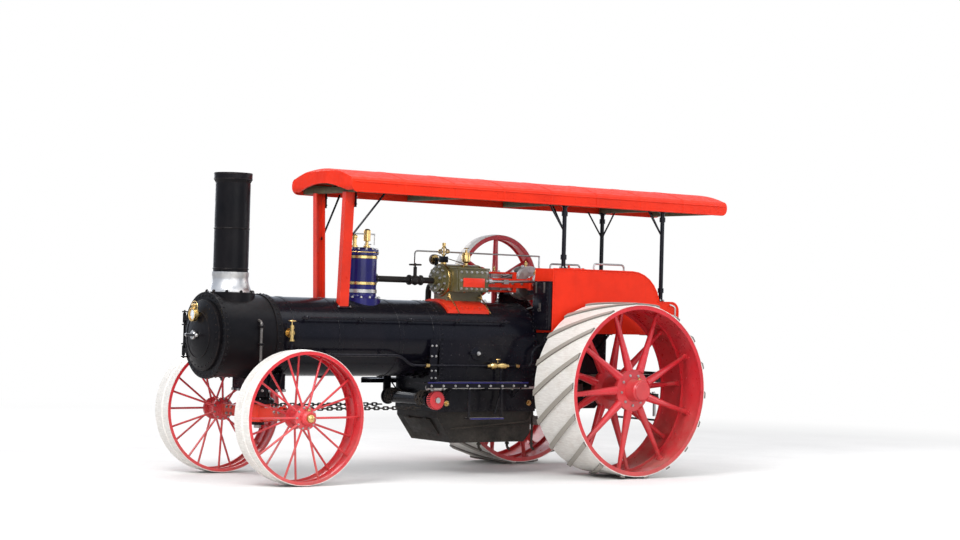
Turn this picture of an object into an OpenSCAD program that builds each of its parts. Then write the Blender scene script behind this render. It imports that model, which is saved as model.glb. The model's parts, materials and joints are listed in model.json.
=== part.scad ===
// Steam traction engine with a long canopy, full size, in millimetres.
// Frame: +X forward, +Y to the engine's left, +Z up, origin on the ground at the middle of the whole.
// Lengths along x below are measured forward from the rear axle; shift_x moves them to the frame.

/* [Wheels] */
// Diameter of a rear wheel over the lug tips
rear_wheel_d = 1730; // [1500:10:1900]
// Width of a rear wheel's tread
rear_wheel_w = 610; // [450:10:640]
// Distance from the centre line to the middle of a rear wheel
rear_wheel_y = 945; // [925:5:1050]
// Height of a lug above the tread
lug_h = 22; // [10:1:40]
// Width of a lug
lug_w = 46; // [25:1:70]
// Number of lugs on a rear wheel
lug_count = 18; // [12:1:24]
// Slant of a lug across the tread, in degrees
lug_slant = 33; // [15:1:45]
// Thickness of a wheel's tread plate
tread_t = 12; // [8:1:20]
// Number of spokes in each row of a rear wheel
rear_spokes = 9; // [6:1:12]
// Radius of a rear spoke
rear_spoke_r = 21; // [14:1:26]
// Diameter of a front wheel
front_wheel_d = 1220; // [1000:10:1300]
// Width of a front wheel's tread
front_wheel_w = 250; // [180:5:280]
// Distance from the centre line to the middle of a front wheel
front_wheel_y = 755; // [720:5:820]
// Number of spokes in each row of a front wheel
front_spokes = 10; // [6:1:12]
// Radius of a front spoke
front_spoke_r = 10; // [7:1:14]
// Distance between the axles
wheelbase = 3580; // [3300:10:3900]

/* [Boiler] */
// Radius of the barrel
barrel_r = 370; // [320:5:380]
// Height of the barrel's centre line
barrel_z = 1320; // [1300:5:1380]
// Distance that the smokebox stands ahead of the front axle
smokebox_lead = 580; // [450:10:700]
// Length of the smokebox
smokebox_l = 600; // [500:10:700]
// Thickness of the smokebox shell and of its front ring
shell_t = 9; // [6:1:14]
// Radius of the smokebox's door opening
door_opening_r = 290; // [220:5:300]
// Depth of the dished smokebox door
door_dish = 70; // [40:5:110]
// Radius of the lamp on the door
lamp_r = 62; // [45:1:75]
// Front face of the firebox
firebox_front = 1800; // [1700:10:1820]
// Back face of the firebox, where the fire door is
firebox_back = 620; // [600:5:700]
// Height of the firebox's lower edge
firebox_bottom = 620; // [560:5:680]
// Height of the ash pan's lower face
ash_pan_bottom = 320; // [300:5:450]
// Radius of the chimney
stack_r = 160; // [110:5:170]
// Height of the chimney's top
stack_top = 2810; // [2500:10:3000]
// Chimney centre, ahead of the front axle
stack_lead = 330; // [200:10:340]
// Radius of the steam dome
dome_r = 160; // [150:5:210]
// Height of the steam dome's lid
dome_top = 2160; // [2000:10:2250]
// Steam dome centre, ahead of the rear axle
dome_x = 2500; // [2200:10:2560]

/* [Engine] */
// Height of the engine's centre line
engine_z = 1900; // [1890:5:1950]
// Crankshaft, ahead of the rear axle
crank_x = 500; // [470:5:520]
// Half of the piston's stroke
crank_throw = 125; // [100:5:130]
// Radius of a crank disc
crank_disc_r = 172; // [160:1:174]
// Radius of the crankshaft
crankshaft_r = 34; // [26:1:38]
// Rear flange of the cylinder, ahead of the rear axle
cylinder_x = 1090; // [1070:5:1110]
// Length of the cylinder between its covers
cylinder_l = 500; // [400:10:540]
// Radius of the cylinder's lagging
cylinder_r = 158; // [130:2:165]
// Radius of the flywheel
flywheel_r = 500; // [400:10:520]
// Width of the flywheel's rim
flywheel_w = 148; // [100:2:150]
// Distance from the centre line to the middle of the flywheel
flywheel_y = 521; // [515:1:525]

/* [Platform] */
// Height of the driver's floor
floor_z = 985; // [970:5:1050]
// Distance from the centre line to the outer side of the tanks
tank_y = 600; // [540:5:605]
// Distance from the centre line to the inner side of the tanks
tank_inner_y = 312; // [308:1:340]
// Front of the left tank, ahead of the rear axle
tank_front = 610; // [560:5:615]
// Back of the tanks, behind the rear axle
tank_back = 1050; // [950:10:1150]
// Front of the right bunker, behind the rear axle
bunker_front = 50; // [30:5:120]
// Lower side of the tanks
tank_bottom = 1410; // [1300:5:1450]
// Top of the tanks
tank_top = 2045; // [1950:5:2150]
// Wall of the bunker
tank_t = 8; // [5:1:12]
// Thickness of the horn plates
horn_t = 14; // [10:1:16]

/* [Canopy] */
// Front of the canopy, ahead of the rear axle
canopy_front = 2960; // [2900:10:3200]
// Back of the canopy, behind the rear axle
canopy_back = 1760; // [1300:10:1900]
// Half of the canopy's width
canopy_half_w = 540; // [480:10:800]
// Height of the canopy's lower edge
canopy_z = 2680; // [2600:5:2800]
// Depth of the canopy's side board
canopy_side_h = 150; // [100:5:180]
// Rise of the roof from its sides to its middle
canopy_rise = 85; // [30:5:120]
// Thickness of the roof sheet and side boards
canopy_t = 22; // [14:1:30]
// Front posts, ahead of the rear axle
post_x = 2820; // [2750:10:2870]

/* [Steering] */
// Steering roller, ahead of the rear axle
roller_x = 1890; // [1885:5:1990]
// Height of the steering roller
roller_z = 740; // [730:5:760]
// Radius of the steering roller
roller_r = 58; // [45:1:60]
// Diameter of the wire that the chain's links are made of
chain_wire = 13; // [9:1:15]
// Distance from link to link
chain_pitch = 52; // [46:1:60]
// Chain eye, distance from the centre line
eye_y = 335; // [280:5:345]
// Chain eye, behind the front axle
eye_back = 85; // [82:1:95]

/* [Hidden] */
$fn = 48;
gap = 0.3;                 // seat between pieces of one body
clear = 6;                 // free space round what moves
rear_r = rear_wheel_d / 2;
front_r = front_wheel_d / 2;
front_axle_x = wheelbase;
smokebox_front = front_axle_x + smokebox_lead;
smokebox_back = smokebox_front - smokebox_l;
smokebox_r = barrel_r + 12;
barrel_top = barrel_z + barrel_r;
door_ring_t = 22;
door_knob_l = 55;
tube_plate_t = 30;
engine_front = smokebox_front + door_ring_t + door_dish + door_knob_l;
shift_x = -(engine_front - canopy_back) / 2;
stack_x = front_axle_x + stack_lead;
horn_y = tank_inner_y - gap - horn_t;          // inner side of a horn plate
front_axle_z = front_r;
axle_r = 58;
front_stub_r = 38;
fit = 0.1;                 // running fit of a bore on its pin
link_bend = chain_wire;
link_half = chain_pitch / 2 - chain_wire / 2;
eye_x = front_axle_x - eye_back;
eye_pin_r = link_bend - chain_wire / 2 - fit;
chain_z = roller_z - roller_r - link_bend - chain_wire / 2 - 1;
steer_lock = 25;           // the front axle's turn each way, in degrees
chain_back = firebox_front + eye_y * sin(steer_lock) + link_half + link_bend + chain_wire / 2 + clear;
roller_half = eye_y + 35;
column_x = 150;
column_y = 120;
column_foot = floor_z - 125;
worm_wheel_r = 85;

// Moves a piece from the rear-axle lengths to the frame.
module placed() { translate([shift_x, 0, 0]) children(); }

// A round rod from point a to point b.
module rod(a, b, r) {
  d = b - a;
  l = norm(d);
  translate(a) rotate([0, acos(d[2] / l), atan2(d[1], d[0])]) cylinder(r = r, h = l);
}

// A cylinder lying along x, from x = a to x = b.
module along_x(a, b, r, y = 0, z = 0) { translate([a, y, z]) rotate([0, 90, 0]) cylinder(r = r, h = b - a); }

// A cylinder lying along y, from y = a to y = b.
module along_y(a, b, r, x = 0, z = 0) { translate([x, b, z]) rotate([90, 0, 0]) cylinder(r = r, h = b - a); }

// A block between two corners.
module block(a, b) { translate(a) cube(b - a); }

// Turns a profile of (radius, y) points about the y axis.
module turned_y(points) { rotate([-90, 0, 0]) rotate_extrude() polygon(points); }

// Turns a profile of (radius, x) points about the x axis.
module turned_x(points) { rotate([0, 90, 0]) rotate_extrude() polygon(points); }

// The boiler's round crown with straight sides, as a bar along x.
module wrapper(a, b, bottom, r) {
  translate([a, 0, 0]) rotate([90, 0, 90]) linear_extrude(height = b - a)
    union() {
      translate([0, barrel_z]) circle(r = r);
      translate([-r, bottom]) square([2 * r, barrel_z - bottom]);
    }
}

module smokebox() {
  ring_in = smokebox_r - 40;
  color("black") placed() difference() {
    union() {
      along_x(smokebox_back, smokebox_front, smokebox_r, 0, barrel_z);
      along_x(smokebox_back, smokebox_back + 60, smokebox_r + 10, 0, barrel_z);
      along_x(smokebox_front - 50, smokebox_front, smokebox_r + 12, 0, barrel_z);
    }
    along_x(smokebox_back + tube_plate_t, smokebox_front - door_ring_t, smokebox_r - shell_t, 0, barrel_z);
    along_x(smokebox_front - door_ring_t - 1, smokebox_front + 1, door_opening_r, 0, barrel_z);
    translate([stack_x, 0, barrel_z]) cylinder(r = stack_r - 6, h = 2 * smokebox_r);
  }
}

door_r = door_opening_r + 35;
hinge_y = -(door_r + 22);
hinge_x = smokebox_front + 24;

// The outer face of the door's dish, from its middle to its rim, as radius and height points.
function dish_line(grow) = let (edge = door_r - 12, r0 = (door_r * door_r + door_dish * door_dish) / (2 * door_dish))
  [for (i = [0 : 6]) let (r = edge * i / 6) [r, door_ring_t + door_dish - r0 + sqrt(r0 * r0 - r * r) + grow]];

// The door: a flat ring with a dished plate, its hinge straps and its centre handle.
module smokebox_door() {
  edge = door_r - 12;
  inner = door_r - 60;
  hollow = [for (i = [6 : -1 : 0]) let (v = dish_line(-12)[i]) [v[0] * inner / edge, v[1]]];
  color("black") placed() union() {
    translate([smokebox_front + gap, 0, barrel_z]) turned_x(concat(
      dish_line(0), [[edge, door_ring_t], [door_r, door_ring_t], [door_r, 0], [inner, 0]], hollow));
    for (h = [-150, 150]) block([smokebox_front + 2, hinge_y, barrel_z + h - 22], [smokebox_front + 34, -185, barrel_z + h + 22]);
    for (h = [-150, 150]) translate([hinge_x, hinge_y, barrel_z + h - 45]) cylinder(r = 16, h = 90);
    along_x(smokebox_front + door_dish, engine_front - 14, 26, 0, barrel_z);
    rod([engine_front - 14, -95, barrel_z], [engine_front - 14, 95, barrel_z], 14);
  }
}

// The lamp on the door's upper half.
module headlamp() {
  lamp_z = barrel_z + 185;
  color("goldenrod") placed() difference() {
    union() {
      along_x(smokebox_front + 20, smokebox_front + 90, 26, 0, lamp_z);
      translate([smokebox_front + 82, 0, lamp_z]) turned_x([[0, 0], [40, 0], [lamp_r - 6, 14], [lamp_r, 20], [lamp_r, 56], [lamp_r - 10, 56],
                                                            [lamp_r - 10, 46], [0, 34]]);
    }
    translate([smokebox_front + gap, 0, barrel_z]) turned_x(concat([[0, -60]], dish_line(gap), [[door_r, 20], [door_r, -60]]));
  }
}

module boiler_barrel() {
  color("black") placed() along_x(firebox_front + gap, smokebox_back - gap, barrel_r, 0, barrel_z);
}

module firebox() {
  inner_r = barrel_r - 60;
  door_z = 1210;
  color("black") placed() difference() {
    wrapper(firebox_back, firebox_front, firebox_bottom, barrel_r);
    block([firebox_back + 70, -inner_r, firebox_bottom - 1], [firebox_front - 90, inner_r, barrel_z + 60]);
    along_x(firebox_back - 1, firebox_back + 80, 140, 0, door_z);
  }
}

fire_door_z = 1210;
fire_hinge_y = 175;

module fire_door() {
  color("black") placed() {
    difference() {
      union() {
        along_x(firebox_back - 18 - gap, firebox_back - gap, 160, 0, fire_door_z);
        for (h = [-70, 70]) block([firebox_back - 34, 20, fire_door_z + h - 14], [firebox_back - 6, fire_hinge_y, fire_door_z + h + 14]);
        along_x(firebox_back - 90, firebox_back - 10, 9, -120, fire_door_z);
      }
      along_x(firebox_back - 8, firebox_back + 1, 130, 0, fire_door_z);
    }
    translate([firebox_back - 20, fire_hinge_y, fire_door_z - 95]) cylinder(r = 12, h = 190);
  }
}

module ash_pan() {
  slope = 190;
  top = firebox_bottom - gap;
  color("dimgray") placed() translate([0, barrel_r - 20, 0]) rotate([90, 0, 0]) linear_extrude(height = 2 * (barrel_r - 20))
    polygon([[firebox_back + 40, top], [firebox_front - 10, top], [firebox_front - 10, top - 60],
             [firebox_front - slope, ash_pan_bottom], [firebox_back + 120, ash_pan_bottom], [firebox_back + 40, ash_pan_bottom + 90]]);
}

module stack() {
  foot_h = 190;
  wall = 6;
  foot_r = stack_r + 70;
  base = barrel_z + smokebox_r * 0.72;
  color("black") placed() difference() {
    translate([stack_x, 0, 0]) rotate_extrude() polygon(concat(
      [[stack_r - wall, base], [foot_r, base], [foot_r, barrel_z + smokebox_r - 6]],
      [for (a = [0 : 15 : 90]) [stack_r + (foot_r - stack_r) * (1 - sin(a)), barrel_z + smokebox_r + 10 + (foot_h - 40) * (1 - cos(a))]],
      [[stack_r, stack_top - 90], [stack_r + 16, stack_top - 60], [stack_r + 16, stack_top], [stack_r - wall, stack_top]]));
    along_x(stack_x - 600, stack_x + 600, smokebox_r + gap, 0, barrel_z);
    along_x(smokebox_front - 50 - gap, smokebox_front + 1, smokebox_r + 12 + gap, 0, barrel_z);
    along_x(smokebox_back - 1, smokebox_back + 60 + gap, smokebox_r + 10 + gap, 0, barrel_z);
  }
}

module steam_dome() {
  color("black") placed() difference() {
    translate([dome_x, 0, 0]) rotate_extrude() polygon(concat(
      [[0, barrel_z], [dome_r + 45, barrel_z], [dome_r + 45, barrel_top - 10]],
      [for (a = [0 : 15 : 90]) [dome_r + 45 * (1 - sin(a)), barrel_top + 6 + 45 * (1 - cos(a))]],
      [[dome_r, dome_top - 46], [dome_r + 15, dome_top - 46], [dome_r + 15, dome_top], [dome_r - 30, dome_top + 22], [0, dome_top + 22]]));
    along_x(dome_x - 600, dome_x + 600, barrel_r + gap, 0, barrel_z);
  }
}

module whistle() {
  z = dome_top + 22 + gap;
  color("goldenrod") placed() {
    translate([dome_x - 70, 0, z - 10]) rotate_extrude() polygon([[0, 10], [34, 10], [34, 30], [16, 34], [16, 70], [34, 76], [34, 176], [20, 190], [0, 194]]);
    translate([dome_x + 70, 0, z - 10]) rotate_extrude() polygon([[0, 10], [30, 10], [30, 28], [20, 32], [20, 96], [27, 102], [27, 122], [10, 134], [0, 136]]);
  }
}

module steam_pipe() {
  r = 30;
  low = engine_z - 10;
  start = dome_x - dome_r - gap;
  color("dimgray") placed() {
    along_x(cylinder_x + cylinder_l + 60, start, r, 0, low);
    along_x(start - 16, start - gap, r + 26, 0, low);
  }
}

module cylinder_block() {
  top_z = engine_z + cylinder_r;
  color("darkolivegreen") placed() difference() {
    union() {
      along_x(cylinder_x + 22, cylinder_x + cylinder_l - 22, cylinder_r, 0, engine_z);
      along_x(cylinder_x, cylinder_x + 24, cylinder_r - 16, 0, engine_z);
      along_x(cylinder_x + cylinder_l - 24, cylinder_x + cylinder_l, cylinder_r - 16, 0, engine_z);
      along_x(cylinder_x + cylinder_l - 1, cylinder_x + cylinder_l + 26, cylinder_r - 40, 0, engine_z);
      block([cylinder_x + 60, 100, engine_z - 110], [cylinder_x + cylinder_l - 60, cylinder_r + 95, engine_z + 110]);
      block([cylinder_x + 40, -110, barrel_z], [cylinder_x + cylinder_l - 40, 110, engine_z]);
      along_x(cylinder_x + cylinder_l, cylinder_x + cylinder_l + 60 - gap, 48, 0, engine_z - 10);
    }
    along_x(cylinder_x - 200, cylinder_x + cylinder_l + 200, barrel_r + gap, 0, barrel_z);
  }
}

girder_y = 128;
girder_t = 30;
bearing_w = 66;
saddle_t = 24;
frame_back = crank_x - 95;
guide_z = 92;

saddle_y = 275;

module engine_frame() {
  crosshead_back = crank_x + 235;
  saddle_low = barrel_z + sqrt(barrel_r * barrel_r - saddle_y * saddle_y) + 8;
  color("firebrick") placed() {
    difference() {
      union() {
        along_x(cylinder_x - 26, cylinder_x - gap, cylinder_r - 10, 0, engine_z);
        for (s = [-1, 1]) {
          block([frame_back, s < 0 ? -girder_y - girder_t : girder_y, engine_z - 55],
                [cylinder_x - 10, s < 0 ? -girder_y : girder_y + girder_t, engine_z + 35]);
          along_y(s < 0 ? -girder_y - bearing_w : girder_y - 4, s < 0 ? -girder_y + 4 : girder_y + bearing_w, 72, crank_x, engine_z);
          block([crank_x - 72, s < 0 ? -girder_y - bearing_w : girder_y - 4, engine_z - 72],
                [crank_x + 72, s < 0 ? -girder_y + 4 : girder_y + bearing_w, engine_z]);
          block([crosshead_back - 10, -girder_y - 5, engine_z + s * guide_z - 9],
                [crosshead_back + 30, girder_y + 5, engine_z + s * guide_z + 9]);
          block([crosshead_back - 10, -45, engine_z + s * guide_z - 9], [cylinder_x - 20, 45, engine_z + s * guide_z + 9]);
        }
        for (s = [-1, 1]) block([crosshead_back - 10, s < 0 ? -girder_y - 20 : girder_y, engine_z - guide_z - 9],
                                [crosshead_back + 30, s < 0 ? -girder_y : girder_y + 20, engine_z + guide_z + 9]);
      }
      along_x(cylinder_x - 60, cylinder_x + 1, 62, 0, engine_z);
      along_y(-300, 300, crankshaft_r + gap, crank_x, engine_z);
    }
    difference() {
      intersection() {
        along_x(cylinder_x + 60, cylinder_x + cylinder_l + 60, barrel_r + saddle_t, 0, barrel_z);
        block([cylinder_x, -saddle_y, saddle_low], [cylinder_x + cylinder_l + 100, saddle_y, engine_z]);
      }
      along_x(cylinder_x - 10, cylinder_x + cylinder_l + 100, barrel_r + gap, 0, barrel_z);
      block([cylinder_x + 40 - gap, -110 - gap, barrel_z], [cylinder_x + cylinder_l - 40 + gap, 110 + gap, engine_z]);
    }
  }
}

crosshead_x = crank_x + 400;
web_in = 38;
web_t = 40;

module connecting_rod() {
  pin = [crank_x, 0, engine_z + crank_throw];
  small = [crosshead_x, 0, engine_z];
  big_w = web_in - clear;
  color("silver") placed() union() {
    rod(small, pin, 20);
    along_y(-big_w, big_w, 44, pin[0], pin[2]);
    along_y(-30, 30, 34, small[0], small[2]);
    block([crosshead_x - 60, -38, engine_z - guide_z + 10], [crosshead_x + 60, 38, engine_z + guide_z - 10]);
    along_x(crosshead_x, cylinder_x - 30, 19, 0, engine_z);
    along_x(cylinder_x - 62, cylinder_x - gap, 40, 0, engine_z);
  }
}

eccentric_y = 235;

module valve_gear() {
  reach = cylinder_x + 60;
  color("silver") placed() difference() {
    union() {
      along_y(eccentric_y - 20, eccentric_y + 20, 82, crank_x, engine_z + 14);
      rod([crank_x + 60, eccentric_y, engine_z + 14], [cylinder_x - 150, eccentric_y, engine_z], 13);
      along_x(cylinder_x - 160, reach - gap, 13, eccentric_y, engine_z);
      block([cylinder_x - 190, eccentric_y - 18, engine_z - 22], [cylinder_x - 130, eccentric_y + 18, engine_z + 22]);
      along_x(reach - 40, reach - gap, 28, eccentric_y, engine_z);
    }
    along_y(0, 400, crankshaft_r + clear, crank_x, engine_z);
  }
}

module governor() {
  gx = cylinder_x + cylinder_l - 110;
  gy = -60;
  foot = engine_z + sqrt(cylinder_r * cylinder_r - 60 * 60) - 12;
  color("goldenrod") placed() difference() {
    translate([gx, gy, 0]) union() {
      translate([0, 0, foot]) cylinder(r = 30, h = 90);
      translate([0, 0, foot + 80]) cylinder(r = 9, h = 150);
      for (s = [-1, 1]) {
        translate([0, s * 62, foot + 150]) sphere(r = 24);
        rod([0, 0, foot + 215], [0, s * 62, foot + 150], 6);
        rod([0, 0, foot + 95], [0, s * 62, foot + 150], 6);
      }
      translate([0, 0, foot + 205]) cylinder(r = 18, h = 30);
    }
    along_x(cylinder_x - 10, cylinder_x + cylinder_l + 100, cylinder_r + gap, 0, engine_z);
  }
}

shaft_left = tank_inner_y - horn_t - 16;
shaft_right = -(flywheel_y + flywheel_w / 2 + 26);

pinion_y = horn_y + horn_t + clear;
pinion_w = 46;

module crankshaft() {
  color("silver") placed() {
    along_y(web_in, shaft_left, crankshaft_r, crank_x, engine_z);
    along_y(web_in, web_in + web_t, crank_disc_r, crank_x, engine_z);
    along_y(-web_in - web_t, -web_in, crank_disc_r, crank_x, engine_z);
    along_y(shaft_right, -web_in, crankshaft_r, crank_x, engine_z);
    translate([crank_x, -pinion_y, engine_z]) rotate([90, 0, 0]) difference() {
      linear_extrude(height = pinion_w) polygon(gear_outline(pinion_teeth, 0));
      translate([0, 0, -1]) cylinder(r = crankshaft_r - 1, h = pinion_w + 2);
    }
  }
}

module flywheel() {
  hub_r = 78;
  rim_in = flywheel_r - 42;
  color("black") placed() translate([crank_x, -flywheel_y, engine_z]) difference() {
    union() {
      turned_y([[rim_in, -flywheel_w / 2], [flywheel_r - 5, -flywheel_w / 2], [flywheel_r, 0], [flywheel_r - 5, flywheel_w / 2], [rim_in, flywheel_w / 2]]);
      along_y(-flywheel_w / 2 - 10, flywheel_w / 2 - 6, hub_r, 0, 0);
      for (i = [0 : 5]) rotate([0, i * 60, 0]) translate([0, 0, hub_r - 20]) cylinder(r1 = 34, r2 = 24, h = rim_in - hub_r + 30);
    }
    along_y(-400, 400, crankshaft_r + 0.02, 0, 0);
  }
}

// One side plate behind the firebox; it carries the crankshaft stool and the rear axle's bearing.
// A side plate's outline, from the side.
function horn_outline() = [[firebox_back - gap, 640], [firebox_back - gap, 1560], [crank_x + 100, 1700], [crank_x + 100, engine_z - 90],
  [crank_x - 100, engine_z - 90], [crank_x - 270, 1720], [80, 1560], [-330, 1400], [-330, 760], [-200, 640]];

module horn_plate(side) {
  stool_y = girder_y + 4;
  boss = 20;
  color("black") placed() mirror([0, side > 0 ? 0 : 1, 0]) difference() {
    union() {
      translate([0, horn_y + horn_t, 0]) rotate([90, 0, 0]) linear_extrude(height = horn_t) polygon(horn_outline());
      block([crank_x - 70, stool_y, engine_z - 118], [crank_x + 70, horn_y + 1, engine_z - 72 - gap]);
      along_y(horn_y - 60, horn_y + horn_t + boss, 120, 0, rear_r);
    }
    along_y(-700, 700, axle_r + fit, 0, rear_r);
    if (side > 0) along_y(-700, 700, 14 + clear, column_x, column_foot);
  }
}

gear_m = 10;
gear_w = 60;
gear_in = horn_y + horn_t + 60;
ring_teeth = 86;
low_teeth = 20;
high_teeth = 43;
pinion_teeth = 19;
high_gear = [crank_x - 160, engine_z - 266];
low_gear = meet([0, rear_r], gear_m * (ring_teeth + low_teeth) / 2, high_gear, gear_m * (high_teeth + low_teeth) / 2);

// The point ahead of the line between two centres that lies at a given distance from each.
function meet(a, ra, b, rb) = let (d = norm(b - a), u = (b - a) / d, t = (ra * ra - rb * rb + d * d) / (2 * d), h = sqrt(ra * ra - t * t))
  [a[0] + t * u[0] + h * u[1], a[1] + t * u[1] - h * u[0]];

function gear_angle(a, b) = atan2(b[1] - a[1], b[0] - a[0]);

// One gear's outline about its own centre, with a tooth at the angle given.
function gear_outline(n, first) = [for (i = [0 : n - 1], k = [0 : 3])
  let (r = gear_m * n / 2, a = first + i * 360 / n, half = 180 / n)
  k == 0 ? polar(r - 11, a - half * 0.62) : k == 1 ? polar(r + 8, a - half * 0.24)
    : k == 2 ? polar(r + 8, a + half * 0.24) : polar(r - 11, a + half * 0.62)];
function polar(r, a) = [r * cos(a), r * sin(a)];

// A gear in the plane outside the right side plate.
module gear(centre, n, first, bore, web_r, web_y) {
  translate([centre[0], -gear_in, centre[1]]) rotate([90, 0, 0]) difference() {
    linear_extrude(height = gear_w) polygon(gear_outline(n, first));
    translate([0, 0, -1]) cylinder(r = bore, h = gear_w + 2);
    if (web_r > 0) for (z = [-1, gear_w - web_y]) translate([0, 0, z]) difference() {
      cylinder(r = gear_m * n / 2 - 45, h = web_y + 1);
      cylinder(r = web_r, h = web_y + 1);
    }
  }
}

// The gears from the crankshaft's side down to the rear axle, out of mesh with the crank pinion.
module gear_train() {
  axle = [0, rear_r];
  down = gear_angle(high_gear, low_gear);
  on = gear_angle(low_gear, axle);
  low_first = down + 180 + 180 / low_teeth;
  step = 360 / low_teeth;
  off = (on - low_first) - step * round((on - low_first) / step);
  ring_first = on + 180 + off * low_teeth / ring_teeth + 180 / ring_teeth;
  stud_r = 30;
  y0 = horn_y + horn_t + gap;
  color("dimgray") placed() {
    difference() {
      gear(high_gear, high_teeth, down, 20, 60, 18);
      for (a = [0 : 60 : 300]) along_y(-600, 600, 38, high_gear[0] + 115 * cos(a), high_gear[1] + 115 * sin(a));
    }
    gear(low_gear, low_teeth, low_first, 20, 0, 0);
    difference() {
      gear(axle, ring_teeth, ring_first, axle_r + gap, 125, 16);
      for (a = [30 : 60 : 330]) along_y(-600, 600, 90, 255 * cos(a), rear_r + 255 * sin(a));
    }
    for (c = [high_gear, low_gear]) union() {
      along_y(-gear_in + gap, -y0, stud_r + 14, c[0], c[1]);
      along_y(-gear_in - gear_w - 24, -gear_in + gap + 1, 20 - gap, c[0], c[1]);
      along_y(-gear_in - gear_w - 24, -gear_in - gear_w - gap, stud_r, c[0], c[1]);
    }
  }
}

module rear_axle() {
  end_y = rear_wheel_y + rear_wheel_w / 2 + 8;
  color("black") placed() along_y(-end_y, end_y, axle_r, 0, rear_r);
}

hub_half = rear_wheel_w / 2 + 40;

// A rear wheel about its own centre, with its outer side at +y.
module rear_wheel(slant) {
  rim_out = rear_r - lug_h;
  rim_in = rim_out - tread_t;
  row_y = rear_wheel_w / 2 - 110;
  hub_r = 112;
  flange_r = 205;
  color("firebrick") difference() {
    union() {
      turned_y([[rim_in, -rear_wheel_w / 2], [rim_out, -rear_wheel_w / 2], [rim_out, rear_wheel_w / 2], [rim_in, rear_wheel_w / 2]]);
      turned_y([[axle_r + fit, -hub_half], [hub_r - 20, -hub_half], [hub_r, -hub_half + 40], [hub_r, -200], [flange_r, -190], [flange_r, -150],
                [hub_r + 10, -140], [hub_r + 10, 140], [flange_r, 150], [flange_r, 190], [hub_r, 200], [hub_r - 6, hub_half - 30], [hub_r - 24, hub_half],
                [0, hub_half], [0, hub_half - 30], [axle_r + fit, hub_half - 30]]);
      for (row = [-1, 1], i = [0 : rear_spokes - 1]) {
        a = 360 / rear_spokes * (i + (row > 0 ? 0 : 0.5));
        rod([(flange_r - 30) * cos(a), row * 170, (flange_r - 30) * sin(a)],
            [(rim_in + 4) * cos(a + 4), row * row_y * 0.5, (rim_in + 4) * sin(a + 4)], rear_spoke_r);
      }
      intersection() {
        turned_y([[rim_out - 3, -rear_wheel_w / 2 - 0.01], [rear_r, -rear_wheel_w / 2 - 0.01], [rear_r, rear_wheel_w / 2 + 0.01], [rim_out - 3, rear_wheel_w / 2 + 0.01]]);
        for (i = [0 : lug_count - 1]) rotate([0, i * 360 / lug_count, 0]) translate([0, 0, -rear_r]) rotate([0, 0, slant])
          translate([-lug_w / 2, -rear_wheel_w, -60]) cube([lug_w, 2 * rear_wheel_w, 160]);
      }
    }
  }
}

module rear_wheel_left() { placed() translate([0, rear_wheel_y, rear_r]) rear_wheel(lug_slant); }
module rear_wheel_right() { placed() mirror([0, 1, 0]) translate([0, rear_wheel_y, rear_r]) rear_wheel(lug_slant); }

// A front wheel about its own centre, with its outer side at +y.
module front_wheel() {
  rim_in = front_r - tread_t - 8;
  hub_r = 66;
  hub_l = 165;
  flange_r = 108;
  color("firebrick") union() {
    turned_y([[rim_in, -front_wheel_w / 2], [front_r - 8, -front_wheel_w / 2], [front_r - 8, -22], [front_r, -16], [front_r, 16], [front_r - 8, 22],
              [front_r - 8, front_wheel_w / 2], [rim_in, front_wheel_w / 2]]);
    turned_y([[front_stub_r + fit, -hub_l], [hub_r - 8, -hub_l], [hub_r, -hub_l + 20], [hub_r, -110], [flange_r, -100], [flange_r, -76], [hub_r + 4, -68],
              [hub_r + 4, 68], [flange_r, 76], [flange_r, 100], [hub_r, 110], [hub_r, hub_l - 10], [hub_r - 14, hub_l + 12], [0, hub_l + 12], [0, hub_l - 6], [front_stub_r + fit, hub_l - 6]]);
    for (row = [-1, 1], i = [0 : front_spokes - 1]) {
      a = 360 / front_spokes * (i + (row > 0 ? 0 : 0.5));
      rod([(flange_r - 16) * cos(a), row * 88, (flange_r - 16) * sin(a)], [(rim_in + 4) * cos(a), row * 45, (rim_in + 4) * sin(a)], front_spoke_r);
    }
  }
}

module front_wheel_left() { placed() translate([front_axle_x, front_wheel_y, front_axle_z]) front_wheel(); }
module front_wheel_right() { placed() mirror([0, 1, 0]) translate([front_axle_x, front_wheel_y, front_axle_z]) front_wheel(); }

pivot_r = 40;
turntable_z = front_axle_z + 92;

module front_pedestal() {
  color("black") placed() difference() {
    union() {
      translate([front_axle_x, 0, 0]) rotate_extrude() polygon([[0, turntable_z], [150, turntable_z], [150, turntable_z + 30], [110, turntable_z + 60], [110, turntable_z + 130], [0, turntable_z + 130]]);
      block([front_axle_x - 170, -190, turntable_z + 110], [front_axle_x + 170, 190, barrel_z - 100]);
      translate([front_axle_x, 0, front_axle_z - 90]) cylinder(r = pivot_r, h = 200);
      translate([front_axle_x, 0, front_axle_z - 110]) cylinder(r = pivot_r + 24, h = 26);
    }
    along_x(front_axle_x - 500, front_axle_x + 500, smokebox_r + 10 + gap, 0, barrel_z);
  }
}

stub_y = front_wheel_y - 170;

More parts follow.
